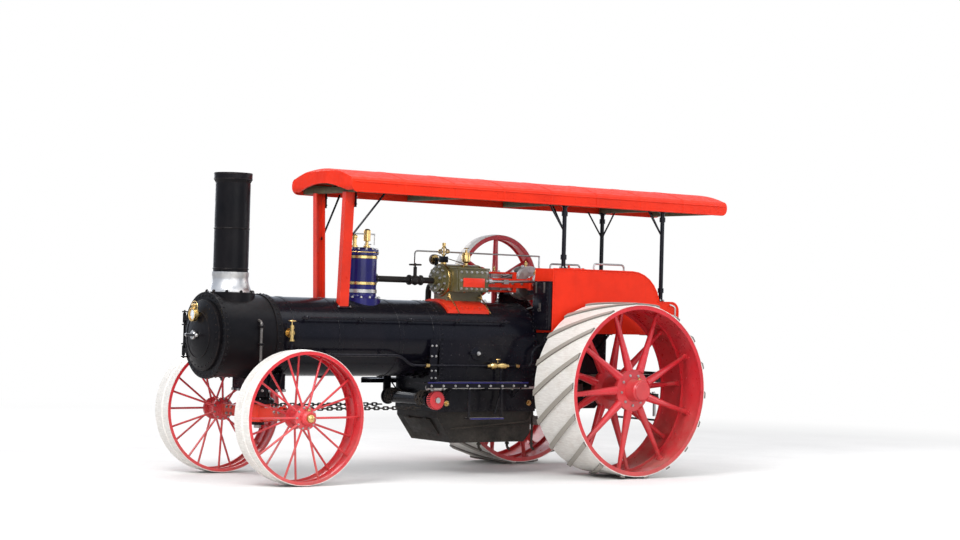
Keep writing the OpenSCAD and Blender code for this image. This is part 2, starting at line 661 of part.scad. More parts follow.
module front_axle() {
  color("firebrick") placed() difference() {
    union() {
      block([front_axle_x - 55, -stub_y, front_axle_z - 50], [front_axle_x + 55, stub_y, front_axle_z + 50]);
      translate([front_axle_x, 0, front_axle_z - 78]) cylinder(r = 120, h = 164);
      for (s = [-1, 1]) {
        along_y(s < 0 ? -front_wheel_y - 140 : stub_y - 5, s < 0 ? -stub_y + 5 : front_wheel_y + 140, front_stub_r, front_axle_x, front_axle_z);
        block([eye_x - 16, s * eye_y - 17, chain_z - 22], [front_axle_x - 40, s * eye_y + 17, chain_z - 8]);
        block([eye_x - 16, s * eye_y - 17, chain_z + 8], [front_axle_x - 40, s * eye_y + 17, chain_z + 22]);
        block([front_axle_x - 60, s * eye_y - 17, front_axle_z - 20], [front_axle_x - 40, s * eye_y + 17, chain_z + 22]);
        translate([eye_x, s * eye_y, chain_z - 22]) cylinder(r = eye_pin_r, h = 44);
      }
    }
    translate([front_axle_x, 0, front_axle_z - 300]) cylinder(r = pivot_r + fit, h = 600);
  }
}

// One chain link lying in the x-z plane, its length along x.
module link() {
  for (s = [-1, 1]) translate([s * link_half, 0, 0]) rotate([90, 0, 0]) rotate([0, 0, s > 0 ? -90 : 90])
    rotate_extrude(angle = 180) translate([link_bend, 0]) circle(r = chain_wire / 2, $fn = 16);
  for (s = [-1, 1]) along_x(-link_half, link_half, chain_wire / 2, 0, s * link_bend);
}

// The steering chain from the axle's eye back to the roller, level and straight.
module chain(side) {
  n = floor((eye_x - link_half - chain_back) / chain_pitch);
  color("dimgray") placed() mirror([0, side > 0 ? 0 : 1, 0]) translate([eye_x - link_half, eye_y, chain_z])
    for (i = [0 : n]) translate([-i * chain_pitch, 0, 0]) rotate([(i + 1) % 2 * 90, 0, 0]) link();
}

module chain_left() { chain(1); }
module chain_right() { chain(-1); }

bracket_t = 22;
bracket_y = roller_half + 12;

module steering_roller() {
  worm_y = roller_half + 80;
  color("firebrick") placed() {
    along_y(-roller_half, roller_half, roller_r, roller_x, roller_z);
    along_y(-roller_half - 60, roller_half + 110, 22, roller_x, roller_z);
    along_y(worm_y - 25, worm_y + 25, worm_wheel_r, roller_x, roller_z);
    for (s = [-1, 1]) along_y(s * roller_half - 7, s * roller_half + 7, roller_r + 22, roller_x, roller_z);
  }
}

// The two brackets that hang the roller from the boiler's sides.
module roller_brackets() {
  color("black") placed() for (s = [-1, 1]) mirror([0, s > 0 ? 0 : 1, 0]) difference() {
    union() {
      block([roller_x - 40, bracket_y, roller_z], [roller_x + 40, bracket_y + bracket_t, barrel_z]);
      along_y(bracket_y, bracket_y + bracket_t, 45, roller_x, roller_z);
      block([roller_x - 40, 300, barrel_z - 60], [roller_x + 40, bracket_y + bracket_t, barrel_z]);
    }
    along_x(roller_x - 100, roller_x + 100, barrel_r + gap, 0, barrel_z);
    along_y(-700, 700, 22 + fit, roller_x, roller_z);
  }
}

module steering_column() {
  shaft_y = roller_half + 80;
  top = 1880;
  foot = column_foot;
  color("dimgray") placed() union() {
    translate([column_x, column_y, foot]) cylinder(r = 16, h = top - foot);
    translate([column_x, column_y, top]) rotate_extrude() translate([150, 0]) circle(r = 13);
    translate([column_x, column_y, top - 30]) cylinder(r = 34, h = 50);
    for (a = [0 : 90 : 270]) rod([column_x, column_y, top], [column_x + 148 * cos(a), column_y + 148 * sin(a), top], 9);
    along_y(column_y, shaft_y, 14, column_x, foot);
    along_x(column_x, roller_x + 60, 14, shaft_y, foot);
    for (y = [column_y, shaft_y]) block([column_x - 40, y - 40, foot - 40], [column_x + 40, y + 40, foot + 40]);
    along_x(roller_x - 45, roller_x + 45, foot - roller_z - worm_wheel_r - gap, shaft_y, foot);
  }
}

module platform() {
  low = floor_z - 40;
  front = firebox_back - gap;
  back = -tank_back + 20;
  side = horn_y + horn_t + gap + 25;
  guard = gear_in + gear_w + 30;
  color("saddlebrown") placed() difference() {
    union() {
      block([back, -tank_y + 20, low], [front, -side, floor_z]);
      block([back, -horn_y + gap + 65, low], [front, horn_y - gap - 65, floor_z]);
      block([back, side, low], [front, tank_y - 20, floor_z]);
      block([back, -tank_y + 20, low], [-345, tank_y - 20, floor_z]);
    }
    translate([column_x, column_y, low - 1]) cylinder(r = 16 + clear, h = 60);
    block([-450, -guard, low - 1], [450, -side + 26, floor_z + 1]);
  }
}

tail_drop = 300;
tank_round = 370;
tail_round = 90;
tank_bend = tank_back - 630;

// The side outline of a tank: flat top, a wide curve at the back and a lower tail behind it.
function tank_outline(front) = concat(
  [[front, tank_bottom], [front, tank_top]],
  [for (a = [0 : 12.5 : 75]) [-tank_bend - tank_round * sin(a), tank_top - tank_round * (1 - cos(a))]],
  [[-tank_bend - tank_round + 7, tank_top - tail_drop]],
  [for (a = [0 : 15 : 90]) [-tank_back + tail_round * (1 - sin(a)), tank_top - tail_drop - tail_round * (1 - cos(a))]],
  [[-tank_back, tank_bottom]]);

module tank_shape(front) {
  translate([0, tank_y, 0]) rotate([90, 0, 0]) linear_extrude(height = tank_y - tank_inner_y) polygon(tank_outline(front));
}

module water_tank() {
  color("red") placed() tank_shape(tank_front);
}

lid_x = 240;
lid_y = 456;
lid_r = 85;

module tank_lid() {
  z = tank_top + gap;
  color("red") placed() {
    translate([lid_x, lid_y, z]) cylinder(r = lid_r, h = 14);
    block([lid_x - lid_r - 20, lid_y - 20, z], [lid_x - lid_r + 30, lid_y + 20, z + 14]);
    along_y(lid_y - 30, lid_y + 30, 9, lid_x - lid_r - 20, z + 9);
    block([lid_x + lid_r - 30, lid_y - 8, z + 12], [lid_x + lid_r - 10, lid_y + 8, z + 40]);
  }
}

module coal_bunker() {
  color("red") placed() mirror([0, 1, 0]) difference() {
    tank_shape(-bunker_front);
    block([-tank_bend - 120, tank_inner_y + tank_t, tank_bottom + tank_t], [-bunker_front - tank_t, tank_y - tank_t, tank_top + 10]);
  }
}

// The canopy's cross-section, outside or inside, as half-width and height points.
function roof_line(half_w, low, high, rise) = let (n = 12, r = 60)
  concat([[-half_w, low]],
         [for (a = [0 : 30 : 90]) [-half_w + r * (1 - cos(a)), high - r + r * sin(a)]],
         [for (i = [1 : n - 1]) let (t = -1 + 2 * i / n) [t * (half_w - r), high + rise * (1 - t * t)]],
         [for (a = [90 : -30 : 0]) [half_w - r * (1 - cos(a)), high - r + r * sin(a)]],
         [[half_w, low]]);

// The canopy's outline from the side, its lower corners well rounded.
function roof_side(a, b, low, high, r) = concat(
  [for (t = [0 : 15 : 90]) [a + r * (1 - sin(t)), low + r * (1 - cos(t))]],
  [[a, high - 30], [a + 30, high], [b - 30, high], [b, high - 30]],
  [for (t = [90 : -15 : 0]) [b - r * (1 - sin(t)), low + r * (1 - cos(t))]]);

// An end board: the roof's own outline with its lower edge arched between the eaves.
module end_board(x, high) {
  foot = 70;
  arch = canopy_side_h + canopy_rise - 140;
  half = canopy_half_w - foot;
  translate([x, 0, 0]) rotate([90, 0, 90]) linear_extrude(height = canopy_t) difference() {
    polygon(roof_line(canopy_half_w, canopy_z, high, canopy_rise));
    polygon(concat([[-half, canopy_z - 5]], [for (t = [-1 : 0.2 : 1]) [t * half, canopy_z + arch * (1 - t * t)]], [[half, canopy_z - 5]]));
  }
}

module canopy() {
  high = canopy_z + canopy_side_h;
  top = high + canopy_rise + 1;
  color("red") placed() union() {
    intersection() {
      union() {
        translate([-canopy_back, 0, 0]) rotate([90, 0, 90]) linear_extrude(height = canopy_front + canopy_back) difference() {
          polygon(roof_line(canopy_half_w, canopy_z, high, canopy_rise));
          polygon(roof_line(canopy_half_w - canopy_t, canopy_z - 10, high - canopy_t, canopy_rise));
        }
        for (x = [-canopy_back, canopy_front - canopy_t]) end_board(x, high);
      }
      translate([0, canopy_half_w + 1, 0]) rotate([90, 0, 0]) linear_extrude(height = 2 * canopy_half_w + 2)
        polygon(roof_side(-canopy_back, canopy_front, canopy_z, top, 70));
    }
    for (x = [-canopy_back + 120, rear_post_x, mid_post_x, 1600, post_x]) block([x - 25, -canopy_half_w + 5, canopy_z + 10], [x + 25, canopy_half_w - 5, canopy_z + 60]);
  }
}

module front_posts() {
  color("firebrick") placed() difference() {
    for (s = [-1, 1]) union() {
      multmatrix([[1, 0, 0, post_x - 50], [0, 1, s * 0.054, s * 200 - 30], [0, 0, 1, 1500], [0, 0, 0, 1]]) difference() {
        cube([100, 60, canopy_z + 10 - gap - 1500]);
        translate([12, s > 0 ? -1 : 12, -1]) cube([76, 49, 2000]);
      }
    }
    along_x(post_x - 300, post_x + 300, barrel_r + gap, 0, barrel_z);
  }
}

post_y = canopy_half_w - canopy_t - 30;
rear_post_x = -tank_back + 150;
mid_post_x = 400;

// A canopy post standing on a tank.
module tank_post(x, side, foot) {
  translate([x, side * post_y, foot + gap]) cylinder(r = 22, h = canopy_z + 10 - 2 * gap - foot);
  translate([x, side * post_y, foot + gap]) cylinder(r = 40, h = 14);
}

module tank_posts() {
  color("black") placed() {
    tank_post(mid_post_x, 1, tank_top);
    for (side = [-1, 1]) tank_post(rear_post_x, side, tank_top - tail_drop);
  }
}

board_back = 860;
board_front = 2080;
step_back = 1180;
step_front = 1570;

module footboard(side) {
  y0 = barrel_r + gap;
  top = 912;
  low = 560;
  edge = 575;
  color("black") placed() mirror([0, side > 0 ? 0 : 1, 0]) difference() {
    union() {
      block([board_back, y0, top - 12], [board_front, edge, top]);
      block([board_back, edge - 15, top - 50], [board_front, edge, top]);
      for (x = [board_back + 40, firebox_front - 60]) block([x, y0, top - 160], [x + 14, y0 + 14, top - 6]);
      for (x = [board_back + 40, firebox_front - 60]) rod([x + 7, y0 + 10, top - 150], [x + 7, edge - 15, top - 14], 7);
      for (x = [step_back, step_front]) block([x - 12, edge - 27, low], [x + 12, edge - 13, top - 6]);
      block([step_back - 12, 500, low], [step_front + 12, 590, low + 12]);
    }
    block([roller_x - 40 - gap, barrel_r - 1, top - 60], [roller_x + 40 + gap, bracket_y + bracket_t + gap, top + 1]);
  }
}

module footboard_left() { footboard(1); }
module footboard_right() { footboard(-1); }

feed_x = smokebox_back - 70;
feed_z = barrel_z + 40;

// The feed's check valve on the barrel's left side.
module feed_fittings() {
  side_y = sqrt(barrel_r * barrel_r - 40 * 40);
  color("goldenrod") placed() difference() {
    union() {
      along_y(side_y - 10, side_y + 60, 26, feed_x, feed_z);
      along_y(side_y - 10, side_y + 14, 44, feed_x, feed_z);
      translate([feed_x, side_y + 50, feed_z - 70]) cylinder(r = 20, h = 140);
      translate([feed_x, side_y + 50, feed_z - 76]) cylinder(r = 28, h = 16);
    }
    along_x(feed_x - 200, feed_x + 200, barrel_r + gap, 0, barrel_z);
  }
}

module backhead_fittings() {
  x = firebox_back - gap;
  color("goldenrod") placed() {
    along_x(x - 40, x, 75, -170, 1520);
    along_x(x - 30, x, 14, 170, 1480);
    along_x(x - 30, x, 14, 170, 1340);
    translate([x - 30, 170, 1320]) cylinder(r = 10, h = 180);
  }
}

drawbar_x = -tank_back - 130;
drawbar_z = 740;
drawbar_t = 30;

module drawbar() {
  color("black") placed() difference() {
    union() {
      block([drawbar_x + 45, -230, drawbar_z - 40], [drawbar_x + 105, 230, drawbar_z + 40]);
      for (s = [-1, 1]) rod([drawbar_x + 95, s * 200, drawbar_z], [-200, s * (horn_y - gap - 24), drawbar_z], 24);
      block([drawbar_x - 35, -60, drawbar_z - drawbar_t / 2], [drawbar_x + 55, 60, drawbar_z + drawbar_t / 2]);
    }
    translate([drawbar_x, 0, drawbar_z - 100]) cylinder(r = 20, h = 200);
  }
}

smokebox();
smokebox_door();
headlamp();
boiler_barrel();
firebox();
fire_door();
ash_pan();
stack();
steam_dome();
whistle();
steam_pipe();
cylinder_block();  // cylinder
engine_frame();
connecting_rod();
valve_gear();
governor();
crankshaft();
flywheel();
gear_train();
horn_plate(1);  // horn_plate_left
horn_plate(-1);  // horn_plate_right
platform();
water_tank();
tank_lid();
coal_bunker();
canopy();
front_posts();
tank_posts();
rear_axle();
rear_wheel_left();
rear_wheel_right();
front_pedestal();
front_axle();
front_wheel_left();
front_wheel_right();
steering_roller();
roller_brackets();
steering_column();
chain_left();
chain_right();
footboard_left();
footboard_right();
feed_fittings();
backhead_fittings();
drawbar();
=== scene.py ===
"""Looks of a steam traction engine: finishes, fittings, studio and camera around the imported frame."""

import json
import logging
import math
from dataclasses import dataclass, field
from enum import Enum
from typing import Iterable, Optional, Sequence, Union

import bpy
from mathutils import Euler, Matrix, Vector

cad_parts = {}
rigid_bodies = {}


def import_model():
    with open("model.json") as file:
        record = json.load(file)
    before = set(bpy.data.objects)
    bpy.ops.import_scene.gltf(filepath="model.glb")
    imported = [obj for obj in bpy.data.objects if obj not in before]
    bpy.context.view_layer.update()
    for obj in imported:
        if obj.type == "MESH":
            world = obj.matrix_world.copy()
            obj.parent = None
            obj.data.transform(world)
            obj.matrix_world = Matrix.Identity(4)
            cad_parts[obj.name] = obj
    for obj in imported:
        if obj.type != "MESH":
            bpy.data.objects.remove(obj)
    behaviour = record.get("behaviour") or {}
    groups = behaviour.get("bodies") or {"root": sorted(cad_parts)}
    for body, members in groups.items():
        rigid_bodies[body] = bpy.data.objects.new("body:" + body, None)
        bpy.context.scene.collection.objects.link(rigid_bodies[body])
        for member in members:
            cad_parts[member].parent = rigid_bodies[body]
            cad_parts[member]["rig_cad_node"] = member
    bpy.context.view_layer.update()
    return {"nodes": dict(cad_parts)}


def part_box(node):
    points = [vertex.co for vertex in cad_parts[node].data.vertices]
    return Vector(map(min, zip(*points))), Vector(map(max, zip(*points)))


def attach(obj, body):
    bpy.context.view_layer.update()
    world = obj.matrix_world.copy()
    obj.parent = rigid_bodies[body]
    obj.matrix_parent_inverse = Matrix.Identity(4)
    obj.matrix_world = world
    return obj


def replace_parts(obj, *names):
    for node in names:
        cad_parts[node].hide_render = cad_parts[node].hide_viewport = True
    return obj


log = logging.getLogger("engine")

Point = tuple[float, float, float]
Way = Sequence[float]
Profile = Sequence[tuple[float, float]]
Piece = bpy.types.Object
Socket = bpy.types.NodeSocket
Colour = tuple[float, float, float, float]
Value = Union[Socket, float, Sequence[float]]  # what a node's input takes

FULL_TURN = 2 * math.pi
BOTH = (1, -1)  # the signs of left and right, or of outside and inside
SMOOTH_UNDER = 35.0  # degrees between faces that are shaded as one
BEVEL_OVER = 40.0  # degrees between faces whose edge is rounded
MERGE_UNDER = 1e-5  # metres between corners that become one


class Axis(Enum):
    """The frame's directions that a turned piece can stand along."""

    FORWARD = (1.0, 0.0, 0.0)
    LEFT = (0.0, 1.0, 0.0)
    UP = (0.0, 0.0, 1.0)

    @property
    def noon(self) -> Point:
        """Where a circle round this direction starts."""
        x, y, z = self.value
        return (z, x, y)


class Side(Enum):
    """The engine's left and right, as the sign of y."""

    LEFT = 1
    RIGHT = -1


# Bench


class Bench:
    """Models pieces with Blender's own operators, and leaves their origins at the world's."""

    def at(self, x: float, y: float, z: float) -> Point:
        """Where one of the bench's own points lies in the frame."""
        return (x, y, z)

    @staticmethod
    def clear() -> None:
        """Leaves nothing selected, in object mode."""
        if bpy.context.object is not None and bpy.context.object.mode != "OBJECT":
            bpy.ops.object.mode_set(mode="OBJECT")
        bpy.ops.object.select_all(action="DESELECT")

    @classmethod
    def pick(cls, piece: Piece) -> None:
        """Makes one piece the only one selected.

        Args:
            piece: the piece.
        """
        cls.clear()
        piece.select_set(True)
        bpy.context.view_layer.objects.active = piece

    @staticmethod
    def smooth(under: float = SMOOTH_UNDER) -> None:
        """Shades the active piece smooth over edges under an angle in degrees."""
        bpy.ops.object.shade_smooth_by_angle(angle=math.radians(under))

    @staticmethod
    def open_mesh() -> None:
        """Goes to edit mode, with all of the active piece selected."""
        bpy.ops.object.mode_set(mode="EDIT")
        bpy.ops.mesh.select_all(action="SELECT")

    @staticmethod
    def close_mesh(merge: bool = True) -> None:
        """Merges corners that meet, turns all faces outwards and leaves edit mode.

        Args:
            merge: whether corners are merged.
        """
        bpy.ops.mesh.select_all(action="SELECT")
        if merge:
            bpy.ops.mesh.remove_doubles(threshold=MERGE_UNDER)
        bpy.ops.mesh.normals_make_consistent(inside=False)
        bpy.ops.object.mode_set(mode="OBJECT")

    @classmethod
    def settle(cls, smooth: float = SMOOTH_UNDER) -> Piece:
        """Puts the active piece's place, turn and scale in its mesh, and shades it smooth.

        Args:
            smooth: the angle in degrees under which edges are shaded smooth, or 0 for none.

        Returns:
            The piece.
        """
        piece = bpy.context.active_object
        cls.pick(piece)
        bpy.ops.object.transform_apply(location=True, rotation=True, scale=True)
        if smooth > 0:
            cls.smooth(smooth)
        return piece

    @staticmethod
    def facing(direction: Way) -> Euler:
        """The turn that points a piece's own z along a direction."""
        return Vector(direction).to_track_quat("Z", "Y").to_euler()

    @classmethod
    def modify(cls, piece: Piece, kind: str, **settings: object) -> Piece:
        """Gives a piece one modifier and applies it.

        Args:
            piece: the piece.
            kind: the modifier's type.
            **settings: its properties.

        Returns:
            The piece.
        """
        cls.pick(piece)
        tool = piece.modifiers.new(kind.lower(), kind)
        for key, value in settings.items():
            setattr(tool, key, value)
        bpy.ops.object.modifier_apply(modifier=tool.name)
        return piece

    @classmethod
    def bevelled(cls, piece: Piece, width: float) -> Piece:
        """Rounds a piece's edges."""
        return cls.modify(piece, "BEVEL", width=width, segments=2, limit_method="ANGLE",
            angle_limit=math.radians(BEVEL_OVER))

    def bar(self, low: Point, high: Point, bevel: float = 0.003) -> Piece:
        """A block between two corners, with its edges rounded.

        Args:
            low: its lowest corner.
            high: its highest corner.
            bevel: the radius of its edges.

        Returns:
            The block.
        """
        self.clear()
        low, high = self.at(*low), self.at(*high)
        middle = [(a + b) / 2 for a, b in zip(low, high)]
        size = [abs(b - a) for a, b in zip(low, high)]
        bpy.ops.mesh.primitive_cube_add(size=1, location=middle, scale=size)
        piece = self.settle(0)
        if bevel > 0:
            self.bevelled(piece, min(bevel, min(size) * 0.45))
        self.smooth()
        return piece

    def rod(self, start: Point, end: Point, radius: float, sides: int = 16,
            bevel: Optional[float] = None) -> Piece:
        """A round or many-sided rod between two points.

        Args:
            start: the middle of one end.
            end: the middle of the other end.
            radius: its radius.
            sides: its number of sides.
            bevel: the radius of its end edges, or a tenth of its width.

        Returns:
            The rod.
        """
        self.clear()
        foot, head = Vector(self.at(*start)), Vector(self.at(*end))
        along = head - foot
        bpy.ops.mesh.primitive_cylinder_add(vertices=sides, radius=radius, depth=along.length,
            location=(foot + head) / 2, rotation=self.facing(along))
        piece = self.settle()
        bevel = min(0.002, radius * 0.2) if bevel is None else bevel
        if bevel > 0:
            self.bevelled(piece, bevel)
            self.smooth()
        return piece

    def ring(self, centre: Point, axis: Way, radius: float, wire: float, sides: int = 48) -> Piece:
        """A ring of round wire about an axis.

        Args:
            centre: its middle.
            axis: the direction it turns about.
            radius: its radius, to the middle of the wire.
            wire: the wire's radius.
            sides: its facets round the axis.

        Returns:
            The piece.
        """
        self.clear()
        bpy.ops.mesh.primitive_torus_add(location=self.at(*centre), rotation=self.facing(axis),
            major_radius=radius, minor_radius=wire, major_segments=sides, minor_segments=10)
        return self.settle()

    def ball(self, centre: Point, radius: float) -> Piece:
        """A ball, its poles pinched a little as a turned knob's are.

        Args:
            centre: its middle.
            radius: its radius.

        Returns:
            The piece.
        """
        self.clear()
        bpy.ops.mesh.primitive_uv_sphere_add(segments=20, ring_count=12, radius=radius,
            location=self.at(*centre))
        return self.settle(60)

    def turned(self, profile: Profile, centre: Point, axis: Way, steps: int = 24) -> Piece:
        """Spins a profile round an axis, as on a lathe.

        Args:
            profile: points of (radius, height along the axis).
            centre: where the profile's height is nought.
            axis: the direction of the profile's height.
            steps: the number of facets round.

        Returns:
            The turned piece.
        """
        self.traced([(radius, 0, height) for radius, height in profile])
        bpy.ops.mesh.spin(steps=steps, angle=FULL_TURN, center=(0, 0, 0), axis=(0, 0, 1))
        self.close_mesh()
        piece = bpy.context.active_object
        piece.location = self.at(*centre)
        piece.rotation_euler = self.facing(axis)
        return self.settle()

    def hoop(self, centre: Point, axis: Axis, inner: float, outer: float, width: float,
            steps: int = 64) -> Piece:
        """A flat hoop with its outer corners eased.

        Args:
            centre: its middle.
            axis: the direction that it goes round.
            inner: its inner radius.
            outer: its outer radius.
            width: its width along the axis.
            steps: the number of facets round.

        Returns:
            The hoop.
        """
        half, ease = width / 2, min(0.002, width * 0.2, (outer - inner) * 0.4)
        profile = [(inner, -half), (outer - ease, -half), (outer, ease - half), (outer, half - ease),
            (outer - ease, half), (inner, half), (inner, -half)]
        return self.turned(profile, centre, axis.value, steps)

    def traced(self, points: Sequence[Way]) -> None:
        """Draws a line of edges through points and stays in edit mode, all selected.

        Args:
            points: the points, in order.
        """
        self.clear()
        bpy.ops.mesh.primitive_plane_add(size=0.01)
        self.open_mesh()
        bpy.ops.mesh.merge(type="CENTER")
        bpy.ops.transform.translate(value=tuple(points[0]))
        for before, after in zip(points, points[1:]):
            step = tuple(b - a for a, b in zip(before, after))
            bpy.ops.mesh.extrude_vertices_move(TRANSFORM_OT_translate={"value": step})
        bpy.ops.mesh.select_all(action="SELECT")

    def plate(self, points: Sequence[Way], out: Way, bevel: float = 0.002) -> Piece:
        """A flat plate of any outline.

        Args:
            points: its outline, all in one plane.
            out: its thickness, as a step from that plane.
            bevel: the radius of its edges.

        Returns:
            The plate.
        """
        self.traced([self.at(*p) for p in points])
        bpy.ops.mesh.edge_face_add()
        bpy.ops.mesh.extrude_region_move(TRANSFORM_OT_translate={"value": tuple(out)})
        self.close_mesh(merge=False)
        piece = self.settle(0)
        if bevel > 0:
            self.bevelled(piece, bevel)
        self.smooth()
        return piece

    def strip(self, points: Sequence[Way], across: Way, thick: float, closed: bool = False) -> Piece:
        """A strap or sheet that follows a line.

        Args:
            points: the line.
            across: its width, as a step from the line.
            thick: its thickness, shared by the line's two sides.
            closed: whether the line ends where it starts.

        Returns:
            The strap.
        """
        self.traced([self.at(*p) for p in [*points, *points[:int(closed)]]])
        bpy.ops.mesh.extrude_region_move(TRANSFORM_OT_translate={"value": tuple(across)})
        self.close_mesh()
        self.modify(bpy.context.active_object, "SOLIDIFY", thickness=thick, offset=0)
        return self.settle()

    @staticmethod
    def bent(points: Sequence[Point], radius: float, steps: int = 6) -> list[Vector]:
        """A route with its corners rounded, as a pipe is bent.

        Args:
            points: the route's corners.
            radius: the bend's radius.
            steps: points to a bend.

        Returns:
            The points of the smooth route.
        """
        corners = [Vector(p) for p in points]
        route = [corners[0]]
        for before, corner, after in zip(corners, corners[1:], corners[2:]):
            back, on = before - corner, after - corner
            reach = min(radius, back.length * 0.45, on.length * 0.45)
            a, b = corner + back.normalized() * reach, corner + on.normalized() * reach
            for i in range(steps + 1):
                t = i / steps
                route.append(a * (1 - t) ** 2 + corner * 2 * t * (1 - t) + b * t**2)
        route.append(corners[-1])
        return route

    def pipe(self, points: Sequence[Point], radius: float, bend: float = 0.06) -> Piece:
        """A pipe along a route with rounded bends.

        Args:
            points: the route's corners.
            radius: the pipe's radius.
            bend: the bends' radius.

        Returns:
            The pipe, as a mesh.
        """
        self.clear()
        points = [self.at(*p) for p in points]
        route = self.bent(points, bend) if len(points) > 2 and bend > 0 else [Vector(p) for p in points]
        curve = bpy.data.curves.new("pipe", "CURVE")
        curve.dimensions = "3D"
        curve.bevel_depth = radius
        curve.bevel_resolution = 3
        curve.use_fill_caps = True
        line = curve.splines.new("POLY")
        line.points.add(len(route) - 1)
        for spot, place in zip(line.points, route):
            spot.co = (*place, 1)
        piece = bpy.data.objects.new("pipe", curve)
        bpy.context.scene.collection.objects.link(piece)
        self.pick(piece)
        bpy.ops.object.convert(target="MESH")
        return self.settle()

    @classmethod
    def rivet(cls, radius: float) -> Piece:
        """A dome-headed rivet, its head along z.

        Args:
            radius: the head's radius.

        Returns:
            The piece.
        """
        cls.clear()
        bpy.ops.mesh.primitive_uv_sphere_add(segments=10, ring_count=6, radius=radius)
        cls.open_mesh()
        bpy.ops.mesh.bisect(plane_co=(0, 0, 0), plane_no=(0, 0, 1), clear_inner=True, use_fill=True)
        bpy.ops.object.mode_set(mode="OBJECT")
        bpy.context.active_object.scale = (1, 1, 0.62)
        return cls.settle(50)

    @classmethod
    def nut(cls, width: float) -> Piece:
        """A six-sided nut on its washer with the stud's end standing out, along z.

        Args:
            width: its width over the flats.

        Returns:
            The piece.
        """
        sizes = ((0.62, 0.56, 6, 0.06), (0.14, 0.66, 16, 0.0), (0.86, 0.28, 10, 0.04))
        return cls.joined("nut", [LOOSE.rod((0, 0, 0), (0, 0, width * height), width * radius, sides,
            width * bevel) for height, radius, sides, bevel in sizes])

    @classmethod
    def joined(cls, name: str, pieces: Sequence[Piece]) -> Piece:
        """Joins pieces into one.

        Args:
            name: the joined piece's name.
            pieces: the pieces.

        Returns:
            The joined piece.
        """
        cls.clear()
        for piece in pieces:
            piece.select_set(True)
        bpy.context.view_layer.objects.active = pieces[0]
        bpy.ops.object.join()
        pieces[0].name = pieces[0].data.name = name
        return pieces[0]

    @classmethod
    def copies(cls, name: str, pattern: Piece, places: Iterable[Matrix]) -> Piece:
        """Copies a pattern to each place, each copy with its own mesh, and joins the copies.

        Args:
            name: the joined piece's name.
            pattern: the piece to copy; it is used up.
            places: where each copy goes.

        Returns:
            The joined copies.
        """
        made = []
        for place in places:
            copy = bpy.data.objects.new(name, pattern.data.copy())
            copy.data.transform(place)
            bpy.context.scene.collection.objects.link(copy)
            made.append(copy)
        bpy.data.objects.remove(pattern)
        return cls.joined(name, made)


LOOSE = Bench()  # for parts that are modelled at the world's origin, or in the frame's own lengths


def spot(place: Way, out: Way, turn: float = 0.0) -> Matrix:
    """A place for a copy: its foot at a point, its own z along a direction."""
    facing = Vector(out).to_track_quat("Z", "Y").to_matrix().to_4x4()
    return Matrix.Translation(Vector(place)) @ facing @ Matrix.Rotation(turn, 4, "Z")


# Finishes


